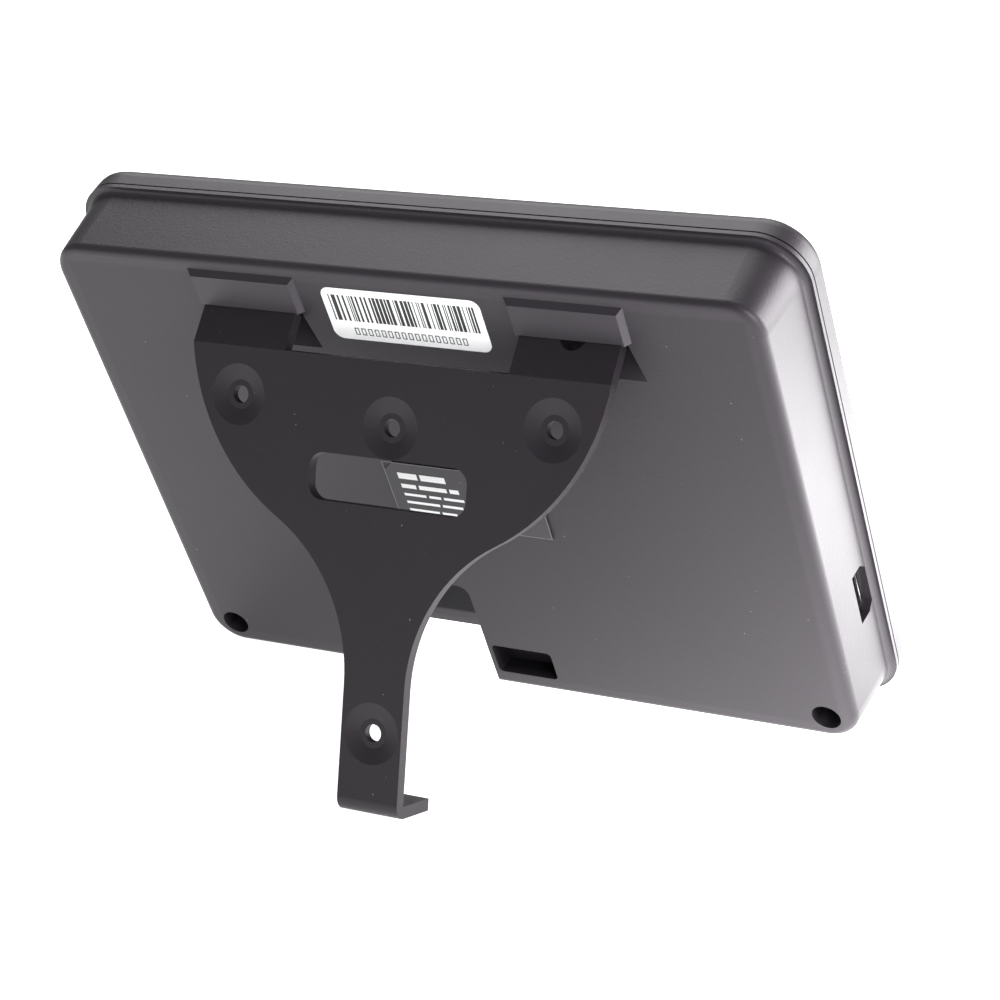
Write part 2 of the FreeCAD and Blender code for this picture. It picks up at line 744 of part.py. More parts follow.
def rear_housing():
    shell_far = (*outline(half_face, size("flare")), size("face_corner") + size("flare"), lip_back_y)
    shell = tapered("housing_shell", (*outline(half_face, ZERO), size("face_corner"), ZERO), shell_far)
    lip = plate("housing_lip", *[outline(half_rim, ZERO)[0], (seam_y, lip_back_y), outline(half_rim, ZERO)[1]],
                size("rim_corner"))
    skin = joined("housing_skin", shell, lip)
    lip_back = lip_back_y.number
    flare_half = (half_face[0] + size("flare")).number
    flare_tall = (half_face[1] + size("flare")).number

    def in_cove(edge):
        box = edge.BoundBox
        return (edge_lies(edge, "y", lip_back) and max(abs(box.XMax), abs(box.XMin)) < flare_half + 0.01
                and max(abs(box.ZMax), abs(box.ZMin)) < flare_tall + 0.01)

    coved = rounded("housing_coved", skin, size("rim_cove"), in_cove)
    soft = rounded("housing_soft", coved, size("back_edge"), lambda edge: edge_lies(edge, "y", 0))

    cavity_x, cavity_z = outline(half_face, -wall)
    deep_x, deep_z = outline(half_face, size("flare") - wall)
    cavity = tapered("housing_cavity", (cavity_x, cavity_z, size("face_corner") - wall, -wall),
                     (deep_x, deep_z, size("face_corner") + size("flare") - wall, seam_y - BEYOND))
    hollow = without("housing_hollow", soft, cavity)

    ledges, pockets, ramps, slots = [], [], [], []
    pivot = bracket_frame_point(ZERO, size("plate_top"))
    tab_angle = size("bracket_angle") + size("tab_bend")
    slot_gap = size("slot_gap")
    for side, (left, right) in tab_spans().items():
        ledge_x = (left - size("ledge_overhang"), right + size("ledge_overhang"))
        ledges.append(ledge("housing_ledge_" + side, ledge_x))
        pockets.append(block("housing_pocket_" + side, (ledge_x[0] - wall, ledge_x[1] + wall),
                             (-size("pocket_depth"), -wall + SINK), (ramp_low_z - wall, ledge_top_z)))
        ramps.append(ramp("housing_ramp_" + side, ledge_x))
        slots.append(tilted_block("housing_slot_" + side, (left - slot_gap, right + slot_gap),
                                  (-size("plate_thick") - slot_gap, slot_gap),
                                  (ZERO, size("tab_length") + slot_gap), tab_angle, pivot))

    recess_x = (size("recess_left"), size("recess_right"))
    recess_z = (recess_low_z, recess_top_z)
    recess_block = block("housing_recess_block", (recess_x[0] - wall, recess_x[1]),
                         (-size("recess_depth") - wall, -wall + SINK), (recess_z[0] - wall, recess_z[1] + wall))
    recess = plate("housing_recess", recess_x, (-size("recess_depth"), BEYOND), recess_z, size("recess_corner"))

    bay_wall = size("bay_wall")
    floor_back_y, floor_front_y = -size("bay_floor"), -size("bay_floor") - size("bay_floor_thick")
    bay_bottom = -(half_rim[1] - wall - gap)
    bay_x = (size("bay_left"), size("bay_right"))
    bay_block = block("housing_bay_block", (bay_x[0] - bay_wall, bay_x[1] + bay_wall), (floor_front_y, -wall + SINK),
                      (-(half_face[1] - SINK), bay_top_z + bay_wall))
    bay = plate("housing_bay", bay_x, (floor_back_y, BEYOND), (-half_rim[1] - 4 * size("bay_corner"), bay_top_z),
                size("bay_corner"))
    bay_mouth = block("housing_bay_mouth", bay_x, (seam_y - BEYOND, floor_back_y + SINK),
                      (-half_rim[1] - BEYOND, bay_bottom + wall))

    wells, well_holes = [], []
    for side in (-1, 1):
        x = side * well_x
        tag = "left" if side < 0 else "right"
        wells.append(rod("housing_well_" + tag, x, (seam_y, -wall + SINK), well_z,
                         size("well_radius") + size("well_wall")))
        well_holes.append(rod("housing_well_hole_" + tag, x, (-size("well_depth"), BEYOND), well_z,
                              size("well_radius")))
        well_holes.append(rod("housing_screw_hole_" + tag, x, (seam_y - BEYOND, ZERO), well_z,
                              size("screw_radius") + size("screw_clearance")))
    posts, post_holes = [], []
    for i, (x, z) in enumerate(board_screw_places()):
        posts.append(rod("housing_post_%d" % i, x, (board_back_y, -wall + SINK), z, size("boss_radius")))
        post_holes.append(rod("housing_post_hole_%d" % i, x, (board_back_y - SINK, board_back_y + size("post_hole_depth")), z,
                              size("screw_radius")))

    usb_mouth = without("housing_usb_mouth", *usb_mouth_pieces())
    net_mouth = block("housing_net_mouth", about(size("net_x"), size("net_width") + 2 * gap),
                      (board_back_y - gap, -wall - gap / 2),
                      (bay_top_z - SINK, bay_top_z + bay_wall + BEYOND))
    jack_mouth = block("housing_jack_mouth", about(size("jack_x"), size("jack_width") + 2 * gap),
                       (board_back_y - gap, board_back_y + size("jack_height") + gap),
                       (bay_top_z - SINK, bay_top_z + bay_wall + BEYOND))
    solid = joined("housing_solid", hollow, *ledges, *pockets, recess_block, bay_block, *wells, *posts)
    cutters = [*ramps, *slots, recess, bay, bay_mouth, *well_holes, *post_holes, usb_mouth, net_mouth, jack_mouth]
    return node("rear_housing", without("housing", solid, *cutters))


def usb_mouth_pieces():
    """The opening's block, and a prism for each corner that stays closed."""
    margin, clip = size("usb_mouth_margin"), size("usb_mouth_clip")
    x = (-half_rim[0] - BEYOND, -face_side + 2 * wall)
    y = about(-size("usb_depth"), size("usb_height") + 2 * gap)
    z = about(usb_z, size("usb_width") + 2 * margin)
    pieces = [block("housing_usb_opening", x, y, z)]
    for tag, corner, sign in (("low", z[0], 1), ("high", z[1], -1)):
        inner = corner + sign * clip
        item = doc.addObject("Part::Wedge", "housing_usb_corner_" + tag)
        lowest, highest = (corner - BEYOND, inner) if sign == 1 else (inner, corner + BEYOND)
        tip = (corner - BEYOND, corner) if sign == 1 else (corner, corner + BEYOND)
        for prop, value in {"Xmin": x[0] - BEYOND, "Xmax": x[1] + BEYOND, "X2min": x[0] - BEYOND,
                            "X2max": x[1] + BEYOND, "Ymin": y[0], "Ymax": y[0] + clip, "Zmin": lowest,
                            "Zmax": highest, "Z2min": tip[0], "Z2max": tip[1]}.items():
            bind(item, prop, value)
        pieces.append(item)
    return pieces


def wedge(name, places):
    """A block whose top and bottom differ: places maps each of the wedge's own properties to a size."""
    item = doc.addObject("Part::Wedge", name)
    for prop, value in places.items():
        bind(item, prop, value)
    return item


def ledge(name, x):
    """A raised bar with its ends and top edge bevelled, square underneath."""
    bevel = size("ledge_bevel")
    return wedge(name, {
        "Ymin": -SINK, "Ymax": size("ledge_height"),
        "Xmin": x[0] - SINK, "Xmax": x[1] + SINK, "X2min": x[0] + bevel, "X2max": x[1] - bevel,
        "Zmin": ledge_low_z, "Zmax": ledge_top_z + SINK,
        "Z2min": ledge_low_z, "Z2max": ledge_top_z - bevel})


def ramp(name, x):
    """A cutter that runs deeper as it goes up to the ledge, and narrower."""
    flare = size("ramp_flare") / 2
    low, high = ramp_low_z, ledge_low_z + SINK
    item = wedge(name, {
        "Ymin": ZERO, "Ymax": high - low,
        "Xmin": x[0] - flare, "Xmax": x[1] + flare, "X2min": x[0] + flare, "X2max": x[1] - flare,
        "Zmin": ZERO, "Zmax": SINK / 10, "Z2min": ZERO, "Z2max": size("ramp_depth")})
    item.Placement = Placement(Vector(), Rotation(Vector(1, 0, 0), 90))
    bind(item, "Placement.Base.z", low)
    return item


def board_screw_places():
    inset = size("board_hole_inset")
    left, right = board_left_x + inset, board_right_x - inset
    top, low = board_top_z - inset, board_bay_z + inset
    return [(left, top), (right, top), (left + size("low_post_shift"), low), (right, low)]


# --- front cover and what it carries -----------------------------------------------------------------------

def key_places():
    """(x, z) of each key, in rows from the top left."""
    return [(keypad_x + (column - 1.5) * size("key_pitch_x"), keypad_z + (1.5 - row) * size("key_pitch_z"))
            for row in range(4) for column in range(4)]


def key_board_places():
    """(x, z) of the four screws that hold the keypad's board."""
    half_x, half_z = 2 * size("key_pitch_x") - size("key_screw_inset"), 2 * size("key_pitch_z")
    return [(keypad_x + sign * half_x, keypad_z + up) for sign in (-1, 1)
            for up in (half_z + size("key_screw_over"), -half_z - size("key_screw_under"))]


key_back_y = front_inner_y + gap / 2 + size("key_flange_thick")
dome_front_y = key_back_y + size("key_travel") + size("key_gap")
membrane_front_y = dome_front_y + size("dome_height")
key_board_front_y = membrane_front_y + size("membrane_thick")
key_board_back_y = key_board_front_y + size("key_board_thick")


def speaker_holes():
    ring = size("speaker_hole_ring")
    places = [(speaker_x, speaker_z)]
    for i in range(6):
        angle = math.radians(60 * i)
        places.append((speaker_x + ring * math.cos(angle), speaker_z + ring * math.sin(angle)))
    for i in range(12):
        angle = math.radians(30 * i + 15)
        places.append((speaker_x + 1.86 * ring * math.cos(angle), speaker_z + 1.86 * ring * math.sin(angle)))
    return places


def front_cover():
    rim_x, rim_z = outline(half_rim, ZERO)
    slab = plate("cover_slab", rim_x, (front_y, cover_back_y), rim_z, size("rim_corner"))
    doc.recompute()
    soft = rounded("cover_soft", slab, size("front_edge"), lambda edge: edge_lies(edge, "y", front_y.number))
    inner_x, inner_z = outline(half_face, size("flare") - wall - gap)
    inner_corner = size("face_corner") + size("flare") - wall - gap
    tongue = plate("cover_tongue", inner_x, (cover_back_y - SINK, cover_back_y + size("tongue_depth")), inner_z,
                   inner_corner)
    thick = size("tongue_thick")
    hollow = plate("cover_hollow", (inner_x[0] + thick, inner_x[1] - thick),
                   (front_inner_y, cover_back_y + size("tongue_depth") + BEYOND),
                   (inner_z[0] + thick, inner_z[1] - thick), inner_corner - thick)
    bay_gap = block("cover_bay_gap", (size("bay_left") - size("bay_wall") - 2 * gap,
                                      size("bay_right") + size("bay_wall") + 2 * gap),
                    (cover_back_y, cover_back_y + size("tongue_depth") + BEYOND),
                    (-half_rim[1], -half_face[1] + 4 * wall))
    ring = without("cover_ring", joined("cover_ring_blank", soft, tongue), hollow, bay_gap)

    bosses, holes = [], []
    for side in (-1, 1):
        tag = "left" if side < 0 else "right"
        x, z = side * well_x, well_z
        bosses.append(rod("cover_boss_" + tag, x, (front_inner_y - SINK, cover_back_y), z,
                          size("well_radius") + size("well_wall")))
        holes.append(rod("cover_boss_hole_" + tag, x, (front_inner_y + size("post_hole_stop"), cover_back_y + SINK), z,
                         size("screw_radius")))
        holes.append(rod("cover_well_room_" + tag, x, (cover_back_y, cover_back_y + size("tongue_depth") + BEYOND),
                         z, size("well_radius") + size("well_wall") + gap))
    for i, (x, z) in enumerate(key_board_places()):
        bosses.append(rod("cover_key_post_%d" % i, x, (front_inner_y - SINK, key_board_front_y), z,
                          size("screw_head_radius")))
        holes.append(rod("cover_key_post_hole_%d" % i, x, (front_inner_y + size("post_hole_stop"), key_board_front_y + SINK), z,
                         size("screw_radius")))

    for i, (x, z) in enumerate(key_places()):
        holes.append(plate("cover_key_hole_%d" % i, about(x, key_width + 2 * gap),
                           (front_y - BEYOND, front_inner_y + BEYOND), about(z, key_height + 2 * gap),
                           size("key_corner") + gap))
    holes.append(plate("cover_lens_seat", (lens_x[0] - gap / 2, lens_x[1] + gap / 2), (front_y - BEYOND, lens_back_y),
                       (lens_z[0] - gap / 2, lens_z[1] + gap / 2), size("lens_corner")))
    holes.append(block("cover_screen_window", about(screen_x, size("screen_width")),
                       (front_y, front_inner_y + BEYOND), about(screen_z, size("screen_height"))))
    neck = sensor_neck()
    holes.append(plate("cover_sensor_hole", (neck[0][0] - gap / 2, neck[0][1] + gap / 2),
                       (front_y - BEYOND, front_inner_y + BEYOND),
                       (neck[1][0] - gap / 2, neck[1][1] + gap / 2), size("bezel_corner") - size("bezel_neck")))
    holes.append(plate("cover_light_hole", about(keypad_x, size("light_width") + gap),
                       (front_y - BEYOND, front_inner_y + BEYOND), about(light_z, size("light_height") + gap),
                       size("light_corner")))
    for i, (x, z) in enumerate(speaker_holes()):
        holes.append(rod("cover_speaker_hole_%d" % i, x, (front_y - BEYOND, front_inner_y + SINK), z,
                         size("speaker_hole_radius")))
    return node("front_cover", without("cover", joined("cover_blank", ring, *bosses), *holes))


def sensor_neck():
    """(x, z) spans of the sensor bezel's part that sits in the cover."""
    neck = size("bezel_neck") * 2
    return (about(sensor_x, size("bezel_width") - neck), about(sensor_z, size("bezel_height") - neck))


def display():
    node("front_lens", plate("lens", lens_x, (front_y, lens_back_y), lens_z, size("lens_corner")))
    x, z = screen_x, screen_z
    glass_w = size("screen_width") + 2 * size("screen_glass_border")
    glass_h = size("screen_height") + 2 * size("screen_glass_border")
    glass_front, glass_back = front_inner_y + gap / 2, front_inner_y + gap / 2 + size("screen_glass_thick")
    node("display_glass", block("screen_glass", about(x, glass_w), (glass_front, glass_back), about(z, glass_h)))
    border = size("screen_frame_border") * 2
    frame_y = (glass_front, glass_front + size("screen_frame_thick"))
    frame = block("screen_frame", about(x, glass_w + border), frame_y, about(z, glass_h + border))
    seat = block("screen_seat", about(x, glass_w), (glass_front - BEYOND, glass_back), about(z, glass_h))
    node("display_frame", without("screen_frame_cut", frame, seat))
    edge_z = z - (glass_h + border) / 2
    low_z = edge_z - size("ribbon_out")
    back, thick = frame_y[1], size("ribbon_thick")
    ribbon_x = about(x, size("ribbon_width"))
    node("display_ribbon", joined(
        "ribbon", block("ribbon_flat", ribbon_x, (back, back + thick), (low_z, edge_z + size("ribbon_run"))),
        block("ribbon_drop", ribbon_x, (back, board_front_y), (low_z, low_z + thick))))


def fingerprint_sensor():
    x, z = sensor_x, sensor_z
    platen_x, platen_z = about(x, size("platen_width")), about(z, size("platen_height"))
    flange = plate("bezel_flange", about(x, size("bezel_width")), (front_y - size("bezel_proud"), front_y),
                   about(z, size("bezel_height")), size("bezel_corner"))
    doc.recompute()
    edge_y = (front_y - size("bezel_proud")).number
    soft = rounded("bezel_soft", flange, size("bezel_proud") - 0.2, lambda edge: edge_lies(edge, "y", edge_y))
    neck_x, neck_z = sensor_neck()
    neck = plate("bezel_neck", neck_x, (front_y - gap, front_inner_y), neck_z,
                 size("bezel_corner") - size("bezel_neck") - gap / 2)
    window = plate("bezel_window", (platen_x[0] - gap, platen_x[1] + gap),
                   (front_y - size("bezel_proud") - BEYOND, front_inner_y + BEYOND),
                   (platen_z[0] - gap, platen_z[1] + gap), size("platen_corner") + gap)
    node("sensor_bezel", without("bezel", joined("bezel_blank", soft, neck), window))
    prism_front = front_y - size("platen_proud")
    prism_back = prism_front + size("prism_depth")
    node("sensor_platen", plate("platen", platen_x, (prism_front, prism_back), platen_z, size("platen_corner")))
    body_y = (front_inner_y, front_inner_y + size("sensor_body_thick"))
    housing = block("sensor_box", about(x, size("sensor_body_width")), body_y, about(z, size("sensor_body_height")))
    seat = block("sensor_seat", (platen_x[0] - gap / 2, platen_x[1] + gap / 2), (body_y[0] - BEYOND, prism_back),
                 (platen_z[0] - gap / 2, platen_z[1] + gap / 2))
    node("sensor_housing", without("sensor_housing_cut", housing, seat))
    board_y = (body_y[1], body_y[1] + size("sensor_board_thick"))
    node("sensor_board", block("sensor_pcb", about(x, size("sensor_body_width")), board_y,
                               about(z, size("sensor_body_height"))))
    node("sensor_connector", block("sensor_plug", about(x, size("sensor_plug_width")), (board_y[1], board_front_y),
                                   about(z, size("sensor_plug_height"))))


KEY_NAMES = ["key_1", "key_2", "key_3", "key_escape", "key_4", "key_5", "key_6", "key_menu",
             "key_7", "key_8", "key_9", "key_up", "key_power", "key_0", "key_ok", "key_down"]


def keypad():
    for name, (x, z) in zip(KEY_NAMES, key_places()):
        body = new_body(name + "_body")
        flange = sketch_in(body, name + "_flange", key_back_y)
        rim = 2 * size("key_flange")
        draw_rounded_rectangle(flange, about(x, key_width + rim), about(z, key_height + rim),
                               size("key_corner"))
        pad(body, flange, (key_back_y - size("key_flange_thick"), key_back_y))
        cap = sketch_in(body, name + "_cap", key_back_y - size("key_flange_thick") / 2)
        draw_rounded_rectangle(cap, about(x, key_width), about(z, key_height), size("key_corner"))
        cap_front = front_y - size("key_proud")
        pad(body, cap, (cap_front, key_back_y - size("key_flange_thick") / 2))
        doc.recompute()
        blank = body.Tip
        edges = ["Edge%d" % i for i, edge in enumerate(blank.Shape.Edges, start=1)
                 if edge_lies(edge, "y", cap_front.number)]
        fillet = body.newObject("PartDesign::Fillet", name + "_edge")
        fillet.Base = (blank, edges)
        bind(fillet, "Radius", size("key_edge"))
        body.Tip = fillet
        node(name, body)
    margin = size("membrane_margin")
    mat = plate("membrane_mat", about(keypad_x, 2 * (keypad_half_x + margin)), (membrane_front_y, key_board_front_y),
                about(keypad_z, 2 * (keypad_half_z + margin)), size("key_corner"))
    domes = [rod("membrane_dome_%d" % i, kx, (dome_front_y, membrane_front_y + gap), kz, size("dome_radius"))
             for i, (kx, kz) in enumerate(key_places())]
    room = [rod("membrane_room_%d" % i, px, (membrane_front_y - BEYOND, key_board_front_y + BEYOND), pz,
                size("screw_head_radius") + gap) for i, (px, pz) in enumerate(key_board_places())]
    node("keypad_membrane", without("membrane", joined("membrane_blank", mat, *domes), *room))
    margin = size("key_board_margin")
    lowest = key_board_places()[1][1] - size("screw_head_radius") - gap
    board = plate("keypad_pcb", about(keypad_x, 2 * (keypad_half_x + margin)), (key_board_front_y, key_board_back_y),
                  (lowest - margin / 2, board_top_z), size("key_corner"))
    holes = [rod("keypad_pcb_hole_%d" % i, px, (key_board_front_y - BEYOND, key_board_back_y + BEYOND), pz,
                 size("screw_radius")) for i, (px, pz) in enumerate(key_board_places())]
    node("keypad_board", without("keypad_pcb_cut", board, *holes))
    tail_right = board_right_x - size("tail_inset")
    tail_z = light_z - size("tail_drop")
    node("keypad_ribbon", block("keypad_tail", (tail_right - size("tail_width"), tail_right),
                                (key_board_back_y, board_front_y), (tail_z, tail_z + size("ribbon_thick"))))


def status_light():
    x, z = keypad_x, light_z
    led_front = key_board_front_y - size("led_thick")
    node("status_light_pipe", plate("light_pipe", about(x, size("light_width")), (front_y, led_front - gap),
                                    about(z, size("light_height")), size("light_corner")))
    leds = [block("led_%d" % i, about(x + offset * size("light_width") / 2, size("led_width")),
                  (led_front, key_board_front_y), about(z, size("led_height")))
            for i, offset in enumerate((-0.5, 0.5))]
    node("status_leds", together("leds", *leds))


def speaker():
    x, z, radius = speaker_x, speaker_z, size("speaker_radius")
    front = front_inner_y + gap
    back = front + size("speaker_thick")
    inner = radius - size("speaker_rim")
    cone_y = (front + gap, front + gap + size("speaker_cone_thick"))
    basket = rod("speaker_basket", x, (front, back - size("speaker_magnet_thick")), z, radius)
    magnet = rod("speaker_magnet", x, (back - size("speaker_magnet_thick") - SINK, back), z, radius * 0.6)
    hollow = rod("speaker_hollow", x, (front - SINK, cone_y[1]), z, inner)
    node("speaker_frame", without("speaker_cut", joined("speaker_blank", basket, magnet), hollow))
    node("speaker_cone", rod("cone", x, cone_y, z, inner - gap))


# --- main board --------------------------------------------------------------------------------------------

def main_board():
    outline_points = [(board_left_x, board_low_z), (board_bay_x, board_low_z), (board_bay_x, board_bay_z),
                      (board_right_x, board_bay_z), (board_right_x, board_top_z), (board_left_x, board_top_z)]
    board = polygon_plate("main_pcb", outline_points, (board_front_y, board_back_y))
    holes = [rod("main_pcb_hole_%d" % i, x, (board_front_y - BEYOND, board_back_y + BEYOND), z,
                 size("screw_radius")) for i, (x, z) in enumerate(board_screw_places())]
    usb_end = -(half_face[0] - size("usb_recess")) + size("usb_length") + gap
    notch = block("main_pcb_usb_notch", (board_left_x - BEYOND, usb_end), (board_front_y - BEYOND, board_back_y + BEYOND),
                  about(usb_z, size("usb_width") + 2 * gap))
    node("main_board", without("main_pcb_cut", board, *holes, notch))


def on_board(name, x, z, width, height, tall):
    """A component block on the back of the main board."""
    return block(name, about(Size.of(x), Size.of(width)), (board_back_y, board_back_y + tall),
                 about(Size.of(z), Size.of(height)))


def components():
    board = board_back_y
    processor_x, processor_z = screen_x + size("processor_right"), screen_z - size("processor_down")
    chip = size("chip_thick")
    node("processor_chip", on_board("processor", processor_x, processor_z, size("processor_side"),
                                    size("processor_side"), chip))
    memory = on_board("memory", processor_x, processor_z + size("memory_up"), size("memory_width"),
                      size("memory_height"), chip)
    flash = on_board("flash", processor_x - size("flash_left"), processor_z, size("flash_width"),
                     size("flash_height"), chip)
    node("memory_chips", together("memories", memory, flash))
    supply_x, supply_z = size("jack_x") + size("inductor_right"), bay_top_z + size("above_sockets")
    node("network_transformer", on_board("transformer", size("net_x"), supply_z, size("transformer_width"),
                                         size("transformer_height"), size("transformer_thick")))
    node("power_inductor", on_board("inductor", supply_x, supply_z, size("inductor_side"), size("inductor_side"),
                                    size("inductor_thick")))
    capacitor_z = supply_z + size("capacitor_up")
    node("power_capacitors", together("capacitors", *[
        rod("capacitor_%d" % i, supply_x + offset * size("capacitor_pitch"),
            (board, board + size("capacitor_tall")), capacitor_z, size("capacitor_radius"))
        for i, offset in enumerate((-1.25, -0.25, 0.75))]))
    node("door_relay", on_board("relay", supply_x, capacitor_z + size("relay_up"), size("relay_width"),
                                size("relay_height"), size("relay_thick")))
    cell_x, cell_z = screen_x - size("cell_left"), screen_z - size("cell_down")
    holder_y = (board, board + size("cell_floor") + size("cell_thick"))
    holder = rod("cell_holder", cell_x, holder_y, cell_z, size("cell_radius") + size("cell_holder_wall"))
    seat = rod("cell_seat", cell_x, (board + size("cell_floor"), holder_y[1] + BEYOND), cell_z,
               size("cell_radius") + gap / 3)
    node("clock_cell_holder", without("cell_holder_cut", holder, seat))
    node("clock_cell", rod("cell", cell_x, (board + size("cell_floor"), holder_y[1]), cell_z,
                           size("cell_radius")))


def usb_socket():
    z, y = usb_z, -size("usb_depth")
    left = -(half_face[0] - size("usb_recess"))
    right = left + size("usb_length")
    sheet_metal = size("usb_sheet")
    outer = block("usb_outer", (left, right), about(y, size("usb_height")), about(z, size("usb_width")))
    inner = block("usb_inner", (left - BEYOND, right - sheet_metal), about(y, size("usb_height") - 2 * sheet_metal),
                  about(z, size("usb_width") - 2 * sheet_metal))
    node("usb_shell", without("usb_sleeve", outer, inner))
    top = y + size("usb_height") / 2 - sheet_metal
    top -= size("usb_tongue_gap")
    tongue_y = (top - size("usb_tongue_thick"), top)
    tongue = block("usb_bar", (left + size("usb_tongue_set_back"), right - sheet_metal), tongue_y,
                   about(z, size("usb_tongue_width")))
    back = block("usb_back", (right - sheet_metal - size("usb_back_length"), right - sheet_metal),
                 about(y, size("usb_height") - 2 * sheet_metal), about(z, size("usb_width") - 2 * sheet_metal))
    node("usb_tongue", joined("usb_insert", tongue, back))
    contacts = [block("usb_contact_%d" % i,
                      (left + 2 * size("usb_tongue_set_back"), right - sheet_metal - size("usb_back_length") - gap),
                      (tongue_y[0] - size("contact_thick"), tongue_y[0]),
                      about(z + offset * size("contact_pitch"), size("contact_width")))
                for i, offset in enumerate((-1.5, -0.5, 0.5, 1.5))]
    node("usb_contacts", together("usb_strips", *contacts))


def network_socket():
    x, low = size("net_x"), bay_top_z
    y = (board_back_y, board_back_y + size("net_height"))
    body = block("net_body", about(x, size("net_width")), y, (low, low + size("net_length")))
    port_y = (y[0] + size("net_port_up"), y[0] + size("net_port_up") + size("net_port_height"))
    port_z = (low - BEYOND, low + size("net_port_depth"))
    port = block("net_port", about(x, size("net_port_width")), port_y, port_z)
    latch = block("net_latch", about(x, size("net_latch_width")),
                  (port_y[1] - SINK, port_y[1] + size("net_latch_tall")), (low - BEYOND, port_z[1] / 2))
    node("network_socket", without("net_cut", body, port, latch))
    pin = size("net_pin_width")
    pins = [block("net_pin_%d" % i, about(x + (i - 3.5) * size("net_pin_pitch"), pin),
                  (port_y[0], port_y[0] + pin), (low + size("net_pin_start"), port_z[1])) for i in range(8)]
    node("network_contacts", together("net_pins", *pins))


def power_jack():
    x, low = size("jack_x"), bay_top_z
    y = (board_back_y, board_back_y + size("jack_height"))
    body = block("jack_body", about(x, size("jack_width")), y, (low, low + size("jack_length")))
    hole_y = y[0] + size("jack_height") / 2
    hole = rod("jack_hole", x, hole_y, (low - BEYOND, low + size("jack_hole_depth")), size("jack_hole_radius"))
    node("power_jack", without("jack_cut", body, hole))
    node("power_jack_pin", rod("jack_pin", x, hole_y, (low + size("jack_pin_start"), low + size("jack_hole_depth")),
                               size("jack_pin_radius")))


# --- labels and screws -------------------------------------------------------------------------------------

def labels():
    left, right = size("label_left"), size("label_right")
    low, high, chamfer = size("plate_low"), size("plate_high"), size("plate_chamfer")
    sticker_top_z = face_top - size("sticker_inset")
    node("nameplate", polygon_plate("name_plate", [(left, low), (right, low), (right, high - chamfer),
                                                   (right - chamfer, high), (left, high)],
                                    (ZERO, size("nameplate_thick"))))
    node("barcode_sticker", plate("sticker", (left, right), (ZERO, size("sticker_thick")),
                                  (sticker_top_z - size("sticker_tall"), sticker_top_z), size("sticker_corner")))


def screws():
    well_floor = -size("well_depth")
    node("case_screws", together("case_screw_pair", *[
        screw("case_screw_%s" % tag, sign * well_x, well_z, well_floor, front_inner_y + 2 * size("post_hole_stop"))
        for tag, sign in (("left", -1), ("right", 1))]))
    node("board_screws", together("board_screw_set", *[
        screw("board_screw_%d" % i, x, z, board_front_y, board_back_y + 0.75 * size("post_hole_depth"))
        for i, (x, z) in enumerate(board_screw_places())]))
    node("keypad_screws", together("keypad_screw_set", *[
        screw("keypad_screw_%d" % i, x, z, key_board_back_y, front_inner_y + 1.4 * size("post_hole_stop"))
        for i, (x, z) in enumerate(key_board_places())]))


# --- assembly ----------------------------------------------------------------------------------------------

def lean_angle():
    """The angle at which the rounded lower back edge and the tip of the foot stand on one plane."""
    tip_y, tip_z = bracket_frame_point(-size("foot_length"), -size("plate_bottom"))
    radius = size("back_edge").number
    centre_y, centre_z = -radius, -half_face[1].number + radius
    reach = (tip_y.number - centre_y, tip_z.number - centre_z)
    return math.degrees(math.atan2(reach[1], reach[0]) + math.asin(radius / math.hypot(*reach)))


def stand_up():
    """Leans the assembly back, and puts the middle of its footprint at the origin."""
    bracket_turn = Rotation(Vector(1, 0, 0), size("bracket_angle").number)
    y, z = bracket_frame_point(ZERO, ZERO)
    lean = Placement(Vector(), Rotation(Vector(1, 0, 0), -lean_angle()))
    own = {label: Placement(item.Placement) for label, item in nodes.items()}
    own["mounting_bracket"] = Placement(Vector(0, y.number, z.number), bracket_turn)
    for label, item in nodes.items():
        item.Placement = lean.multiply(own[label])
    doc.recompute()
    box = FreeCAD.BoundBox()
    for item in nodes.values():
        box.add(item.Shape.optimalBoundingBox(False, False))
    place = Placement(Vector(-(box.XMin + box.XMax) / 2, -(box.YMin + box.YMax) / 2, -box.ZMin), lean.Rotation)
    for label, item in nodes.items():
        item.Placement = place.multiply(own[label])
    doc.recompute()
    print("lean %.3f deg, shift %.3f %.3f" % (lean_angle(), place.Base.y, place.Base.z))


def checked():
    """Raises if anything in the document failed or a sub-part is not made of closed solids."""
    for item in doc.Objects:
        if "Invalid" in item.State or "Error" in item.State:
            raise RuntimeError("%s failed: %s" % (item.Name, item.State))
    for label, item in nodes.items():
        shape = item.Shape
        if shape.isNull() or not shape.isValid() or not shape.Solids or shape.Volume <= 0:
            raise RuntimeError(label + " has no valid shape")


rear_housing()
front_cover()
display()
fingerprint_sensor()
keypad()
status_light()
speaker()
main_board()
components()
usb_socket()
network_socket()
power_jack()
labels()
screws()
mounting_bracket()
doc.recompute()
checked()
stand_up()
checked()

os.makedirs("parts", exist_ok=True)
for label, item in nodes.items():
    item.Shape.exportStep("parts/%s.step" % label)
print("%d sub-parts" % len(nodes))
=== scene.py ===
"""Finishes the fingerprint terminal: plastics, labels, key legends, sockets and the studio round it."""

import json
import math
import random

import bmesh
import bpy
from mathutils import Matrix, Vector


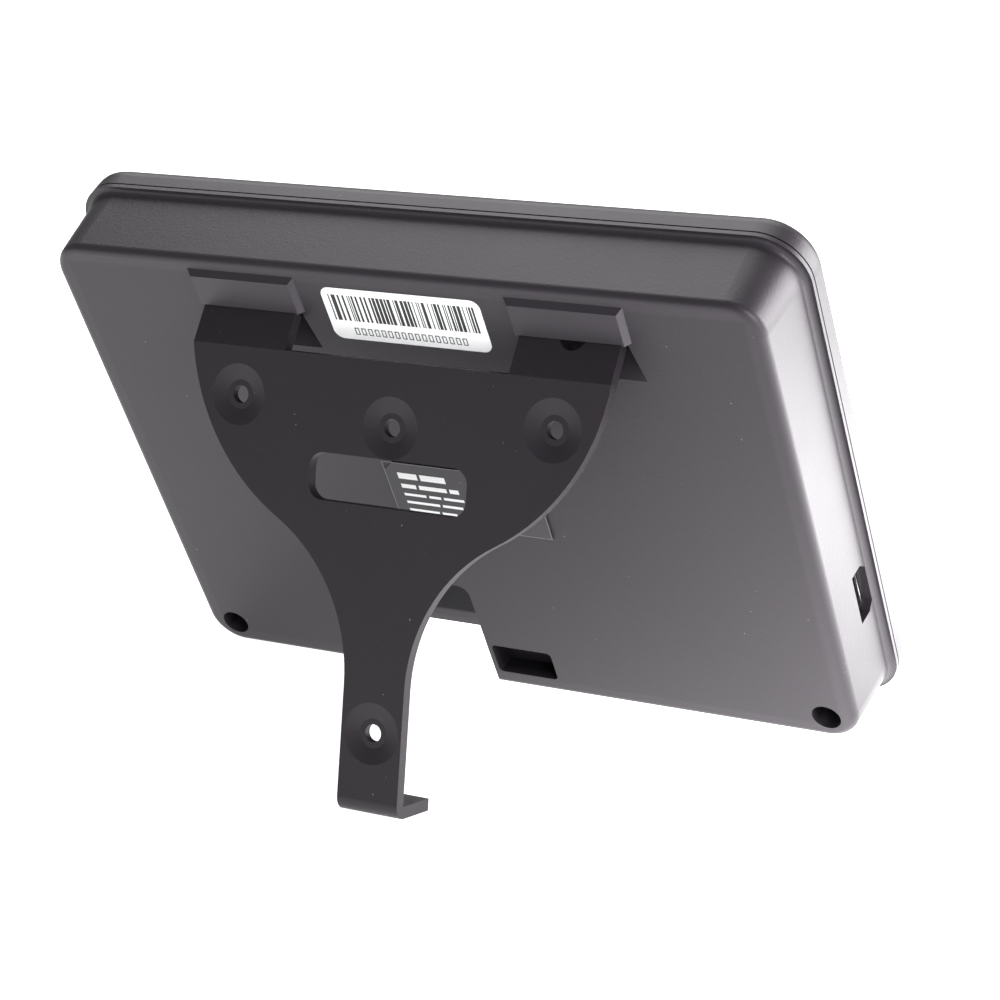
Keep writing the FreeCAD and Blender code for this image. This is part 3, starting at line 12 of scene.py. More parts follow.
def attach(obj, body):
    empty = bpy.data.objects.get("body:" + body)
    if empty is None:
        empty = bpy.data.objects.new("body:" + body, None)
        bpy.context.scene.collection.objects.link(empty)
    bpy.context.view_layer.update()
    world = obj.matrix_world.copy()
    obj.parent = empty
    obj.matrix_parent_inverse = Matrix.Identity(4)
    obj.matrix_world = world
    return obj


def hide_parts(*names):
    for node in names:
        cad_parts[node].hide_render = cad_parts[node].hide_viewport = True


bl_info = {
    "name": "Fingerprint Terminal Finisher",
    "version": (1, 0, 0),
    "blender": (4, 5, 0),
    "location": "View3D > Sidebar > Terminal",
    "description": "Gives a fingerprint terminal its plastics, labels, key legends and a studio to stand in",
    "category": "Object",
}

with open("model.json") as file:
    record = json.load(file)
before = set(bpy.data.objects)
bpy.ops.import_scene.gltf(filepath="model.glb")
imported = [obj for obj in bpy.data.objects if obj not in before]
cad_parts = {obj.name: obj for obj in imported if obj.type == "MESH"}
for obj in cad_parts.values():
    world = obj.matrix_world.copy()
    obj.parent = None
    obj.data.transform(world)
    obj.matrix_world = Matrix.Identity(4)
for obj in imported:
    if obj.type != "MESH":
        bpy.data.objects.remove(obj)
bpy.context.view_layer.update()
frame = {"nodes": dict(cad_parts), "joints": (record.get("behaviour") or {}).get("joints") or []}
NODES = frame["nodes"]
MM = 0.001

KEYS = ("key_1", "key_2", "key_3", "key_escape", "key_4", "key_5", "key_6", "key_menu",
        "key_7", "key_8", "key_9", "key_up", "key_power", "key_0", "key_ok", "key_down")


# --- the case's own axes -----------------------------------------------------------------------------------

def case_axes():
    """Turns the case's axes (X across, Y out of the back, Z up the case) into the frame's."""
    press = next(j for j in frame["joints"] if j["name"] == "key_1_press")
    back = Vector(press["axis"]).normalized()
    across = Vector((1, 0, 0))
    return Matrix((across, back, across.cross(back))).transposed()


CASE = case_axes()


def case_box(node):
    """(lowest, highest) corner of a CAD node, measured along the case's own axes, in metres."""
    turned = [CASE.inverted() @ v.co for v in NODES[node].data.vertices]
    return (Vector(min(p[i] for p in turned) for i in range(3)),
            Vector(max(p[i] for p in turned) for i in range(3)))


# --- settings ----------------------------------------------------------------------------------------------

def length(name, description, millimetres):
    """A length setting, whose default is given in millimetres."""
    return bpy.props.FloatProperty(name=name, description=description, default=millimetres * MM,
                                   unit="LENGTH", min=0.0, precision=5)


def colour(name, description, value):
    """A colour setting."""
    return bpy.props.FloatVectorProperty(name=name, description=description, default=value, size=3,
                                         subtype="COLOR", min=0.0, max=1.0)


class TerminalSizes(bpy.types.PropertyGroup):
    """Sizes of what is printed on the terminal or laid on it."""
    print_thickness: length("Ink", "How far printed marks stand up", 0.04)
    # Width of the lighter outline round the nameplate, which is a painted highlight on the film's edges.
    film_edge_highlight: length("Film edge", "Width of the nameplate's clear edge", 0.18)
    sticker_corner: length("Sticker corner", "Corner radius of the barcode sticker", 2.4)
    barcode_height: length("Bar height", "Height of the barcode's bars", 7.4)
    barcode_module: length("Bar width", "Width of the barcode's thinnest bar", 0.26)
    legend_height: length("Legend", "Height of the figures on the keys", 5.2)
    glyph_size: length("Glyph", "Size of the signs on the function keys", 4.2)
    screen_border: length("Screen border", "Glass edge left dark round the screen's picture", 2.0)
    ring_width: length("Sensor ring", "Width of the bright ring round the sensor's window", 0.9)


class TerminalColours(bpy.types.PropertyGroup):
    """Colours of the terminal's materials."""
    case: colour("Case", "Case plastic", (0.021, 0.0178, 0.0225))
    bracket: colour("Bracket", "Bracket plastic", (0.0105, 0.0080, 0.0115))
    keys: colour("Keys", "Key plastic", (0.035, 0.035, 0.038))
    ink: colour("Ink", "White print on dark pieces", (0.75, 0.75, 0.75))
    paper: colour("Paper", "Barcode sticker", (0.94, 0.94, 0.95))
    film: colour("Film", "Nameplate", (0.022, 0.021, 0.024))


class TerminalStudio(bpy.types.PropertyGroup):
    """Camera and light."""
    azimuth: bpy.props.FloatProperty(name="Azimuth", description="Where the camera looks, from +Y to +X",
                                     default=math.radians(149.99), subtype="ANGLE")
    elevation: bpy.props.FloatProperty(name="Elevation", description="How far the camera looks down",
                                       default=math.radians(21.57), subtype="ANGLE")
    roll: bpy.props.FloatProperty(name="Roll", description="Turn of the camera about its own axis",
                                  default=math.radians(-4.57), subtype="ANGLE")
    distance: bpy.props.FloatProperty(name="Distance", description="Camera to its target", default=0.6557,
                                      unit="LENGTH")
    target: bpy.props.FloatVectorProperty(name="Target", description="Where the camera looks", size=3,
                                          default=(-0.0113, -0.0043, 0.0600), subtype="TRANSLATION")
    focal_length: bpy.props.FloatProperty(name="Focal length", description="Focal length on a 36 mm sensor",
                                          default=100.72)
    room_light: bpy.props.FloatProperty(name="Room", description="Strength of the dim room", default=0.30)
    floor_glow: bpy.props.FloatProperty(name="Light table", description="Glow of the backlit floor",
                                        default=0.92)
    spot_glow: bpy.props.FloatProperty(name="Hot spot", description="Extra glow on the port's side",
                                       default=11.5)
    side_light: bpy.props.FloatProperty(name="Side light", description="Power of the softbox beside the port",
                                        default=11.0, unit="POWER")
    fill_light: bpy.props.FloatProperty(name="Fill light", default=13.0, unit="POWER",
                                        description="Power of the softbox right of the camera")
    top_light: bpy.props.FloatProperty(name="Top light", description="Power of the softbox overhead",
                                       default=9.0, unit="POWER")


# --- meshes ------------------------------------------------------------------------------------------------

def box_into(bm, x, y, z):
    """Adds a box between (low, high) pairs, and returns its vertices."""
    made = bmesh.ops.create_cube(bm, size=1.0)["verts"]
    bmesh.ops.scale(bm, vec=[pair[1] - pair[0] for pair in (x, y, z)], verts=made)
    bmesh.ops.translate(bm, vec=[(pair[0] + pair[1]) / 2 for pair in (x, y, z)], verts=made)
    return made


def soften(bm, edges, radius, segments):
    """Rounds edges."""
    bmesh.ops.bevel(bm, geom=edges, offset=radius, offset_type="OFFSET", segments=segments, profile=0.5,
                    affect="EDGES", material=-1, clamp_overlap=True)


def edges_along(bm, axis):
    """Edges that run along one axis."""
    def along(edge):
        run = (edge.verts[0].co - edge.verts[1].co).normalized()
        return run.cross(Vector(axis)).length < 1e-3
    return [e for e in bm.edges if along(e)]


def slab_into(bm, x, y, z, corner, segments=8):
    """A plate square to Y with round corners."""
    box_into(bm, x, y, z)
    soften(bm, edges_along(bm, (0, 1, 0)), corner, segments)


def outline_into(bm, x, y, z, line):
    """A rectangular outline square to Y: a plate whose middle is cut out."""
    plate = box_into(bm, x, y, z)
    open_up(bm, {f for v in plate for f in v.link_faces if flat_to_y(f)}, line)


def flat_to_y(face):
    """Whether a face is square to Y."""
    return all(abs(v.co.y - face.verts[0].co.y) < 1e-9 for v in face.verts)


def open_up(bm, sides, line):
    """Cuts a hole through a plate, from one of its two sides to the other, and leaves a line's width."""
    sides = list(sides)
    bmesh.ops.inset_region(bm, faces=sides, thickness=line, use_even_offset=True)
    bmesh.ops.bridge_loops(bm, edges=[e for f in sides for e in f.edges])
    bmesh.ops.delete(bm, geom=sides, context="FACES_ONLY")


def add_text(bm, text, height, centre, half_depth):
    """Figures as a mesh, facing the front of the case and centred on a point."""
    curve = bpy.data.curves.new("figures", "FONT")
    curve.body = text
    curve.size = height * 1.35
    curve.extrude = half_depth
    curve.resolution_u = 6
    holder = bpy.data.objects.new("figures", curve)
    bpy.context.scene.collection.objects.link(holder)
    bpy.context.view_layer.update()
    mesh = bpy.data.meshes.new_from_object(holder)
    own = bmesh.new()
    own.from_mesh(mesh)
    middle = [(min(v.co[i] for v in own.verts) + max(v.co[i] for v in own.verts)) / 2 for i in range(2)]
    bmesh.ops.translate(own, vec=(-middle[0], -middle[1], 0), verts=own.verts)
    bmesh.ops.rotate(own, verts=own.verts, cent=(0, 0, 0), matrix=Matrix.Rotation(math.pi / 2, 3, "X"))
    bmesh.ops.translate(own, vec=centre, verts=own.verts)
    own.to_mesh(mesh)
    own.free()
    bm.from_mesh(mesh)
    bpy.data.objects.remove(holder)
    bpy.data.meshes.remove(mesh)
    bpy.data.curves.remove(curve)


def piece(name, bm, body, material, replaced=()):
    """A finished piece from a bmesh drawn on the case's axes."""
    mesh = bpy.data.meshes.new(name)
    bmesh.ops.recalc_face_normals(bm, faces=bm.faces)
    bm.to_mesh(mesh)
    bm.free()
    mesh.transform(CASE.to_4x4())
    mesh.materials.append(material)
    item = bpy.data.objects.new(name, mesh)
    bpy.context.scene.collection.objects.link(item)
    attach(item, body)
    if replaced:
        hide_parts(*replaced)
    return item


def smooth(item, angle=35.0):
    """Shades curved stretches smooth and keeps real edges sharp."""
    for face in item.data.polygons:
        face.use_smooth = True
    item.data.set_sharp_from_angle(angle=math.radians(angle))


# --- materials ---------------------------------------------------------------------------------------------

def new_group(name, inputs, outputs):
    """A shader node group with its sockets: (group, its input node, its output node)."""
    group = bpy.data.node_groups.new(name, "ShaderNodeTree")
    for label, kind, value in inputs:
        socket = group.interface.new_socket(name=label, in_out="INPUT", socket_type=kind)
        if value is not None:
            socket.default_value = value
    for label, kind in outputs:
        group.interface.new_socket(name=label, in_out="OUTPUT", socket_type=kind)
    entry = group.nodes.new("NodeGroupInput")
    leave = group.nodes.new("NodeGroupOutput")
    return group, entry, leave


def add(tree, kind, inputs=None, **settings):
    """Adds a node, sets its properties, and sets or links its inputs."""
    node = tree.nodes.new(kind)
    for key, value in settings.items():
        setattr(node, key, value)
    for key, value in (inputs or {}).items():
        if isinstance(value, bpy.types.NodeSocket):
            tree.links.new(value, node.inputs[key])
        else:
            node.inputs[key].default_value = value
    return node


def grain_group():
    """Fine moulded texture: a height for the bump, and a tone that drifts slowly over the surface."""
    group, entry, leave = new_group("moulded_grain", [("Vector", "NodeSocketVector", None),
                                                      ("Grain", "NodeSocketFloat", 2600.0),
                                                      ("Drift", "NodeSocketFloat", 28.0)],
                                    [("Height", "NodeSocketFloat"), ("Tone", "NodeSocketFloat")])
    vector, grain, drift = (entry.outputs[n] for n in ("Vector", "Grain", "Drift"))
    fine = add(group, "ShaderNodeTexNoise", {"Vector": vector, "Scale": grain, "Detail": 3.0,
                                             "Roughness": 0.6})
    cells = add(group, "ShaderNodeTexVoronoi", {"Vector": vector, "Scale": grain}, feature="SMOOTH_F1")
    height = add(group, "ShaderNodeMath", {0: fine.outputs["Fac"], 1: cells.outputs["Distance"]},
                 operation="ADD")
    slow = add(group, "ShaderNodeTexNoise", {"Vector": vector, "Scale": drift, "Detail": 4.0,
                                             "Roughness": 0.55})
    group.links.new(height.outputs[0], leave.inputs["Height"])
    group.links.new(slow.outputs["Fac"], leave.inputs["Tone"])
    return group


def dust_group():
    """A mask of small, uneven, scattered specks."""
    group, entry, leave = new_group("dust", [("Vector", "NodeSocketVector", None),
                                             ("Spacing", "NodeSocketFloat", 340.0),
                                             ("Size", "NodeSocketFloat", 0.07),
                                             ("Share", "NodeSocketFloat", 0.25)],
                                    [("Mask", "NodeSocketFloat")])
    wobble = add(group, "ShaderNodeTexNoise", {"Vector": entry.outputs["Vector"], "Scale": 4000.0,
                                               "Detail": 2.0})
    bent = add(group, "ShaderNodeVectorMath", {0: wobble.outputs["Color"], 1: (0.0005, 0.0005, 0.0005),
                                               2: entry.outputs["Vector"]}, operation="MULTIPLY_ADD")
    cells = add(group, "ShaderNodeTexVoronoi", {"Vector": bent.outputs[0], "Scale": entry.outputs["Spacing"]})
    chance = add(group, "ShaderNodeSeparateColor", {"Color": cells.outputs["Color"]})
    radius = add(group, "ShaderNodeMath", {0: chance.outputs["Green"], 1: entry.outputs["Size"]},
                 operation="MULTIPLY")
    near = add(group, "ShaderNodeMath", {0: cells.outputs["Distance"], 1: radius.outputs[0]},
               operation="LESS_THAN")
    kept = add(group, "ShaderNodeMath", {0: chance.outputs["Red"], 1: entry.outputs["Share"]},
               operation="LESS_THAN")
    mask = add(group, "ShaderNodeMath", {0: near.outputs[0], 1: kept.outputs[0]}, operation="MULTIPLY")
    group.links.new(mask.outputs[0], leave.inputs["Mask"])
    return group


def painted_shade_group():
    """A mask of what lies below the case's back face: cable bay, pockets, screw wells and recess, where shade
    is painted into the plastic.
    """
    group, entry, leave = new_group("recess_painted_shade", [("Vector", "NodeSocketVector", None)],
                                    [("Mask", "NodeSocketFloat")])
    low, high = case_box("rear_housing")
    back_face = case_box("nameplate")[0].y
    rim, shallow, deep = 7.5 * MM, 1.0 * MM, 27.0 * MM
    spans = (((low.x + high.x) / 2, (high.x - low.x) / 2 - rim, 0.5 * MM),
             (back_face - (deep + shallow) / 2, (deep - shallow) / 2, 1.5 * MM),
             ((low.z + high.z) / 2, (high.z - low.z) / 2 - rim, 0.5 * MM))
    distances = []
    for index, (middle, reach, soft) in enumerate(spans):
        along = add(group, "ShaderNodeVectorMath", {0: entry.outputs["Vector"], 1: tuple(CASE.col[index])},
                    operation="DOT_PRODUCT")
        off = add(group, "ShaderNodeMath", {0: along.outputs["Value"], 1: middle}, operation="SUBTRACT")
        span = add(group, "ShaderNodeMath", {0: off.outputs[0]}, operation="ABSOLUTE")
        inside = add(group, "ShaderNodeMapRange", {"Value": span.outputs[0], "From Min": reach + soft,
                                                   "From Max": reach - soft})
        distances.append(inside.outputs["Result"])
    first = add(group, "ShaderNodeMath", {0: distances[0], 1: distances[1]}, operation="MULTIPLY")
    both = add(group, "ShaderNodeMath", {0: first.outputs[0], 1: distances[2]}, operation="MULTIPLY")
    group.links.new(both.outputs[0], leave.inputs["Mask"])
    return group


GROUPS = {}


def shared(name, build):
    """A node group, built the first time that it is asked for."""
    if name not in GROUPS:
        GROUPS[name] = build()
    return GROUPS[name]


def blank_material(name):
    """A material with a bare Principled shader: (material, its tree, the shader, object coordinates)."""
    material = bpy.data.materials.new(name)
    material.use_nodes = True
    tree = material.node_tree
    tree.nodes.clear()
    shader = add(tree, "ShaderNodeBsdfPrincipled")
    add(tree, "ShaderNodeOutputMaterial", {"Surface": shader.outputs[0]})
    place = add(tree, "ShaderNodeTexCoord")
    return material, tree, shader, place.outputs["Object"]


def mixed(tree, factor, first, second):
    """Mixes two colours, each a value or a socket."""
    node = add(tree, "ShaderNodeMix", data_type="RGBA")
    for index, value in ((0, factor), (6, first), (7, second)):
        if isinstance(value, bpy.types.NodeSocket):
            tree.links.new(value, node.inputs[index])
        else:
            node.inputs[index].default_value = value
    return node.outputs[2]


def around(tree, factor, base, darker, lighter):
    """A colour that drifts between a darker and a lighter share of its base."""
    return mixed(tree, factor, [c * darker for c in base] + [1], [min(c * lighter, 1) for c in base] + [1])


def ranged(tree, value, low, high):
    """Maps 0..1 to low..high."""
    node = add(tree, "ShaderNodeMapRange", {"Value": value, "To Min": low, "To Max": high})
    return node.outputs["Result"]


DUST_COLOUR = (0.16, 0.155, 0.16, 1)
# Painted shade for the case's recesses: their colour is darkened to this share and their specular is lowered
# to this level.
RECESS_PAINTED_SHADE_TONE = 0.4
RECESS_PAINTED_SHADE_SPECULAR = 0.12


def plastic(name, base, roughness=0.45, grain=2600.0, depth=0.00002, strength=0.35, drift=0.12, dust=0.0,
            specular=0.45, paint_recess_shade=False):
    """Moulded plastic with a fine grain, a slow drift of tone and roughness, a little dust, and, when asked,
    painted shade in the case's recesses (darker colour, less specular).
    """
    material, tree, shader, place = blank_material(name)
    texture = add(tree, "ShaderNodeGroup", node_tree=shared("grain", grain_group))
    tree.links.new(place, texture.inputs["Vector"])
    texture.inputs["Grain"].default_value = grain
    low = [c * (1 - drift) for c in base] + [1]
    high = [c * (1 + drift) for c in base] + [1]
    tone = mixed(tree, texture.outputs["Tone"], low, high)
    if dust:
        specks = add(tree, "ShaderNodeGroup", node_tree=shared("dust", dust_group))
        tree.links.new(place, specks.inputs["Vector"])
        specks.inputs["Share"].default_value = dust
        tone = mixed(tree, specks.outputs["Mask"], tone, DUST_COLOUR)
    tree.links.new(tone, shader.inputs["Base Color"])
    tree.links.new(ranged(tree, texture.outputs["Tone"], roughness - 0.05, roughness + 0.05),
                   shader.inputs["Roughness"])
    bump = add(tree, "ShaderNodeBump", {"Height": texture.outputs["Height"], "Strength": strength,
                                        "Distance": depth})
    tree.links.new(bump.outputs[0], shader.inputs["Normal"])
    shader.inputs["Specular IOR Level"].default_value = specular
    shader.inputs["Specular Tint"].default_value = (1.0, 0.95, 1.0, 1)
    # Painted shade: inside the recess mask the colour darkens and the specular drops, to stand in for the
    # shade that falls there.
    if paint_recess_shade:
        recess_painted_shade = add(tree, "ShaderNodeGroup", node_tree=shared("recess_painted_shade", painted_shade_group))
        tree.links.new(place, recess_painted_shade.inputs["Vector"])
        tree.links.new(mixed(tree, recess_painted_shade.outputs["Mask"], tone, [c * RECESS_PAINTED_SHADE_TONE for c in base] + [1]),
                       shader.inputs["Base Color"])
        tree.links.new(ranged(tree, recess_painted_shade.outputs["Mask"], specular, RECESS_PAINTED_SHADE_SPECULAR),
                       shader.inputs["Specular IOR Level"])
    return material


def metal(name, base, roughness=0.3, grain=900.0):
    """Plated or rolled metal with a faint drawn grain."""
    material, tree, shader, place = blank_material(name)
    stretch = add(tree, "ShaderNodeMapping", {"Vector": place, "Scale": (1.0, 8.0, 1.0)})
    noise = add(tree, "ShaderNodeTexNoise", {"Vector": stretch.outputs[0], "Scale": grain, "Detail": 4.0})
    tree.links.new(around(tree, noise.outputs["Fac"], base, 0.88, 1.06), shader.inputs["Base Color"])
    tree.links.new(ranged(tree, noise.outputs["Fac"], roughness - 0.07, roughness + 0.07),
                   shader.inputs["Roughness"])
    bump = add(tree, "ShaderNodeBump", {"Height": noise.outputs["Fac"], "Strength": 0.1, "Distance": 0.00001})
    tree.links.new(bump.outputs[0], shader.inputs["Normal"])
    shader.inputs["Metallic"].default_value = 1.0
    return material


def gloss(name, base, roughness=0.06, transmission=0.0):
    """Polished plastic or glass with faint smears that show in its gloss."""
    material, tree, shader, place = blank_material(name)
    smear = add(tree, "ShaderNodeTexNoise", {"Vector": place, "Scale": 60.0, "Detail": 6.0,
                                             "Roughness": 0.65})
    tree.links.new(ranged(tree, smear.outputs["Fac"], roughness * 0.6, roughness * 1.8),
                   shader.inputs["Roughness"])
    tree.links.new(around(tree, smear.outputs["Fac"], base, 0.9, 1.1), shader.inputs["Base Color"])
    shader.inputs["Transmission Weight"].default_value = transmission
    shader.inputs["Coat Weight"].default_value = 0.3
    shader.inputs["Coat Roughness"].default_value = 0.03
    return material


def dress(material, *names):
    """Puts a material on CAD nodes whose shape stays as it is."""
    for name in names:
        data = NODES[name].data
        data.materials.clear()
        data.materials.append(material)


# --- operators ---------------------------------------------------------------------------------------------

class TERMINAL_OT_case(bpy.types.Operator):
    """Give the two halves of the case their moulded plastic"""
    bl_idname = "terminal.case"
    bl_label = "Case"

    def execute(self, context):
        base = context.scene.terminal_colours.case
        finish = {"roughness": 0.42, "grain": 1900.0, "depth": 0.00004, "strength": 0.5}
        # The rear housing gets painted shade in its recesses.
        dress(plastic("case_plastic", base, dust=0.3, paint_recess_shade=True, **finish), "rear_housing")
        dress(plastic("cover_plastic", base, dust=0.1, **finish), "front_cover")
        return {"FINISHED"}


class TERMINAL_OT_bracket(bpy.types.Operator):
    """Give the mounting bracket its darker moulded plastic"""
    bl_idname = "terminal.bracket"
    bl_label = "Mounting bracket"

    def execute(self, context):
        base = context.scene.terminal_colours.bracket
        dress(plastic("bracket_plastic", base, roughness=0.48, grain=1900.0, depth=0.00003, strength=0.45,
                      dust=0.5), "mounting_bracket")
        return {"FINISHED"}


class TERMINAL_OT_sticker(bpy.types.Operator):
    """Lay the white sticker with a plain barcode between the ledges"""
    bl_idname = "terminal.sticker"
    bl_label = "Barcode sticker"

    def execute(self, context):
        sizes, colours = context.scene.terminal_sizes, context.scene.terminal_colours
        low, high = case_box("barcode_sticker")
        bm = bmesh.new()
        slab_into(bm, (low.x, high.x), (low.y, high.y - sizes.print_thickness), (low.z, high.z),
                  sizes.sticker_corner)
        smooth(piece("sticker", bm, "case", paper_material(colours.paper),
                     ("barcode_sticker",)))
        bm = bmesh.new()
        ink_y = (high.y - 1.5 * sizes.print_thickness, high.y)
        self.bars(bm, sizes, low, high, ink_y)
        piece("barcode_ink", bm, "case", ink_material("black_ink", (0.012, 0.012, 0.013)))
        return {"FINISHED"}

    def bars(self, bm, sizes, low, high, ink_y):
        """Bars of one to four modules, and a row of plain outlines below where a number would stand."""
        draw = random.Random(7)
        side, top = 1.7 * MM, high.z - 1.9 * MM
        x, end = low.x + side, high.x - side
        while x < end:
            width = draw.choice((1, 1, 2, 2, 3, 4)) * sizes.barcode_module
            box_into(bm, (x, min(x + width, end)), ink_y, (top - sizes.barcode_height, top))
            x += width + draw.choice((1, 1, 2, 2, 3)) * sizes.barcode_module
        figures, pitch = 17, 1.75 * MM
        start = (low.x + high.x) / 2 - pitch * (figures - 1) / 2
        for i in range(figures):
            centre = start + i * pitch
            outline_into(bm, (centre - 0.55 * MM, centre + 0.55 * MM), ink_y,
                         (low.z + 1.5 * MM, low.z + 3.5 * MM), 0.2 * MM)


def paper_material(base):
    """Coated label paper with a faint fibre."""
    material, tree, shader, place = blank_material("sticker_paper")
    fibre = add(tree, "ShaderNodeTexNoise", {"Vector": place, "Scale": 1500.0, "Detail": 5.0})
    tree.links.new(around(tree, fibre.outputs["Fac"], base, 0.97, 1.02), shader.inputs["Base Color"])
    bump = add(tree, "ShaderNodeBump", {"Height": fibre.outputs["Fac"], "Strength": 0.15,
                                        "Distance": 0.00001})
    tree.links.new(bump.outputs[0], shader.inputs["Normal"])
    tree.links.new(ranged(tree, fibre.outputs["Fac"], 0.3, 0.45), shader.inputs["Roughness"])
    return material


def ink_material(name, base):
    """Printed ink, slightly uneven."""
    material, tree, shader, place = blank_material(name)
    wear = add(tree, "ShaderNodeTexNoise", {"Vector": place, "Scale": 3000.0, "Detail": 3.0})
    tree.links.new(around(tree, wear.outputs["Fac"], base, 0.85, 1.1), shader.inputs["Base Color"])
    tree.links.new(ranged(tree, wear.outputs["Fac"], 0.4, 0.55), shader.inputs["Roughness"])
    return material


class TERMINAL_OT_nameplate(bpy.types.Operator):
    """Lay the dark nameplate with plain lines where its wording would be, and a painted highlight round its
    edge
    """
    bl_idname = "terminal.nameplate"
    bl_label = "Nameplate"

    # Each row's height, and the widths of its bars, in millimetres.
    ROWS = ((1.9, (5.2, 6.8)), (1.3, (4.0, 7.5, 2.5)), (0.8, (6.0, 3.2, 5.5, 2.6)), (0.8, (9.0, 5.5, 3.4)),
            (0.8, (8.2, 4.0, 6.0)))
    TOP, SIDE, WORD_GAP, ROW_GAP = 3.2, 3.4, 0.8, 1.7

    def execute(self, context):
        sizes, colours = context.scene.terminal_sizes, context.scene.terminal_colours
        dress(plastic("nameplate_film", colours.film, roughness=0.34, grain=3200.0, strength=0.15, dust=0.1),
              "nameplate")
        low, high = case_box("nameplate")
        bm = bmesh.new()
        ink_y = (high.y - sizes.print_thickness / 2, high.y + sizes.print_thickness / 2)
        z = high.z - self.TOP * MM
        for tall, words in self.ROWS:
            x = high.x - self.SIDE * MM
            for word in words:
                box_into(bm, (x - word * MM, x), ink_y, (z - tall * MM, z))
                x -= (word + self.WORD_GAP) * MM
            z -= (tall + self.ROW_GAP) * MM
        piece("nameplate_ink", bm, "case", ink_material("white_ink", colours.ink))
        # Painted highlight: a lighter grey glossy outline round the film stands in for the light that its
        # edges catch.
        bm = bmesh.new()
        edge_y = (high.y - sizes.print_thickness, high.y + sizes.print_thickness / 2)
        outline_into(bm, (low.x, high.x), edge_y, (low.z, high.z), sizes.film_edge_highlight)
        painted_edge_highlight = gloss("painted_highlight_edge", (0.12, 0.12, 0.125), 0.2)
        piece("nameplate_painted_highlight", bm, "case", painted_edge_highlight)
        return {"FINISHED"}


def screen_material():
    """A dim blue picture that lightens towards its top."""
    material, tree, shader, place = blank_material("screen_picture")
    split = add(tree, "ShaderNodeSeparateXYZ", {"Vector": place})
    rise = add(tree, "ShaderNodeMapRange", {"Value": split.outputs["Z"], "From Min": 0.06, "From Max": 0.12})
    cloud = add(tree, "ShaderNodeTexNoise", {"Vector": place, "Scale": 25.0, "Detail": 2.0})
    both = add(tree, "ShaderNodeMath", {0: rise.outputs["Result"], 1: cloud.outputs["Fac"]},
               operation="MULTIPLY")
    tone = mixed(tree, both.outputs[0], (0.003, 0.012, 0.035, 1), (0.02, 0.12, 0.26, 1))
    tree.links.new(tone, shader.inputs["Base Color"])
    tree.links.new(tone, shader.inputs["Emission Color"])
    shader.inputs["Emission Strength"].default_value = 0.6
    tree.links.new(ranged(tree, cloud.outputs["Fac"], 0.08, 0.16), shader.inputs["Roughness"])
    return material


def lit_material(name, base, glow):
    """Bright marks on a lit screen."""
    material, tree, shader, place = blank_material(name)
    noise = add(tree, "ShaderNodeTexNoise", {"Vector": place, "Scale": 3500.0, "Detail": 1.0})
    tone = around(tree, noise.outputs["Fac"], base, 0.85, 1.1)
    tree.links.new(tone, shader.inputs["Base Color"])
    tree.links.new(tone, shader.inputs["Emission Color"])
    shader.inputs["Emission Strength"].default_value = glow
    tree.links.new(ranged(tree, noise.outputs["Fac"], 0.15, 0.3), shader.inputs["Roughness"])
    return material


class TERMINAL_OT_front(bpy.types.Operator):
    """Finish the lens, the display behind it and the status light"""
    bl_idname = "terminal.front"
    bl_label = "Lens and display"

    def execute(self, context):
        sizes = context.scene.terminal_sizes
        dress(gloss("lens_gloss", (0.006, 0.006, 0.007)), "front_lens")
        dress(gloss("display_glass", (0.015, 0.02, 0.026), roughness=0.1), "display_glass")
        dress(gloss("light_pipe", (0.3, 0.33, 0.33), roughness=0.25), "status_light_pipe")
        dress(gloss("led_lens", (0.7, 0.75, 0.5), roughness=0.2), "status_leds")
        low, high = case_box("display_glass")
        border = sizes.screen_border
        self.picture(sizes, (low.x + border, high.x - border), (low.z + border, high.z - border),
                     case_box("front_lens")[0].y)
        return {"FINISHED"}

    def picture(self, sizes, x, z, front):
        """The lit screen: a dark blue picture with a clock, a date and a row of signs."""
        ink = sizes.print_thickness
        bm = bmesh.new()
        slab_into(bm, x, (front - ink, front + ink), z, 0.6 * MM, segments=4)
        smooth(piece("screen_picture", bm, "case", screen_material()))
        bm = bmesh.new()
        middle, width, tall = (x[0] + x[1]) / 2, x[1] - x[0], z[1] - z[0]
        layer = (front - 1.5 * ink, front - 0.5 * ink)
        for text, share, rise in (("12:00", 0.34, 0.58), ("01-01", 0.13, 0.33)):
            add_text(bm, text, tall * share, (middle, front - ink, z[0] + tall * rise), ink / 2)
        box_into(bm, (x[0] + 3 * MM, x[1] - 3 * MM), layer, (z[1] - 6.6 * MM, z[1] - 6.4 * MM))
        for i in range(4):
            centre = x[1] - (4.5 + 3.2 * i) * MM
            top = z[1] - (3.4 - 0.3 * i) * MM
            box_into(bm, (centre - 1.0 * MM, centre + 1.0 * MM), layer, (z[1] - 5.4 * MM, top))
        button_z = (z[0] + 2.4 * MM, z[0] + 7.2 * MM)
        for i in range(5):
            centre = x[0] + width * (0.14 + 0.18 * i)
            outline_into(bm, (centre - 3.2 * MM, centre + 3.2 * MM), layer, button_z, 0.22 * MM)
        light = lit_material("screen_light", (0.75, 0.86, 0.95), 0.9)
        piece("screen_figures", bm, "case", light)


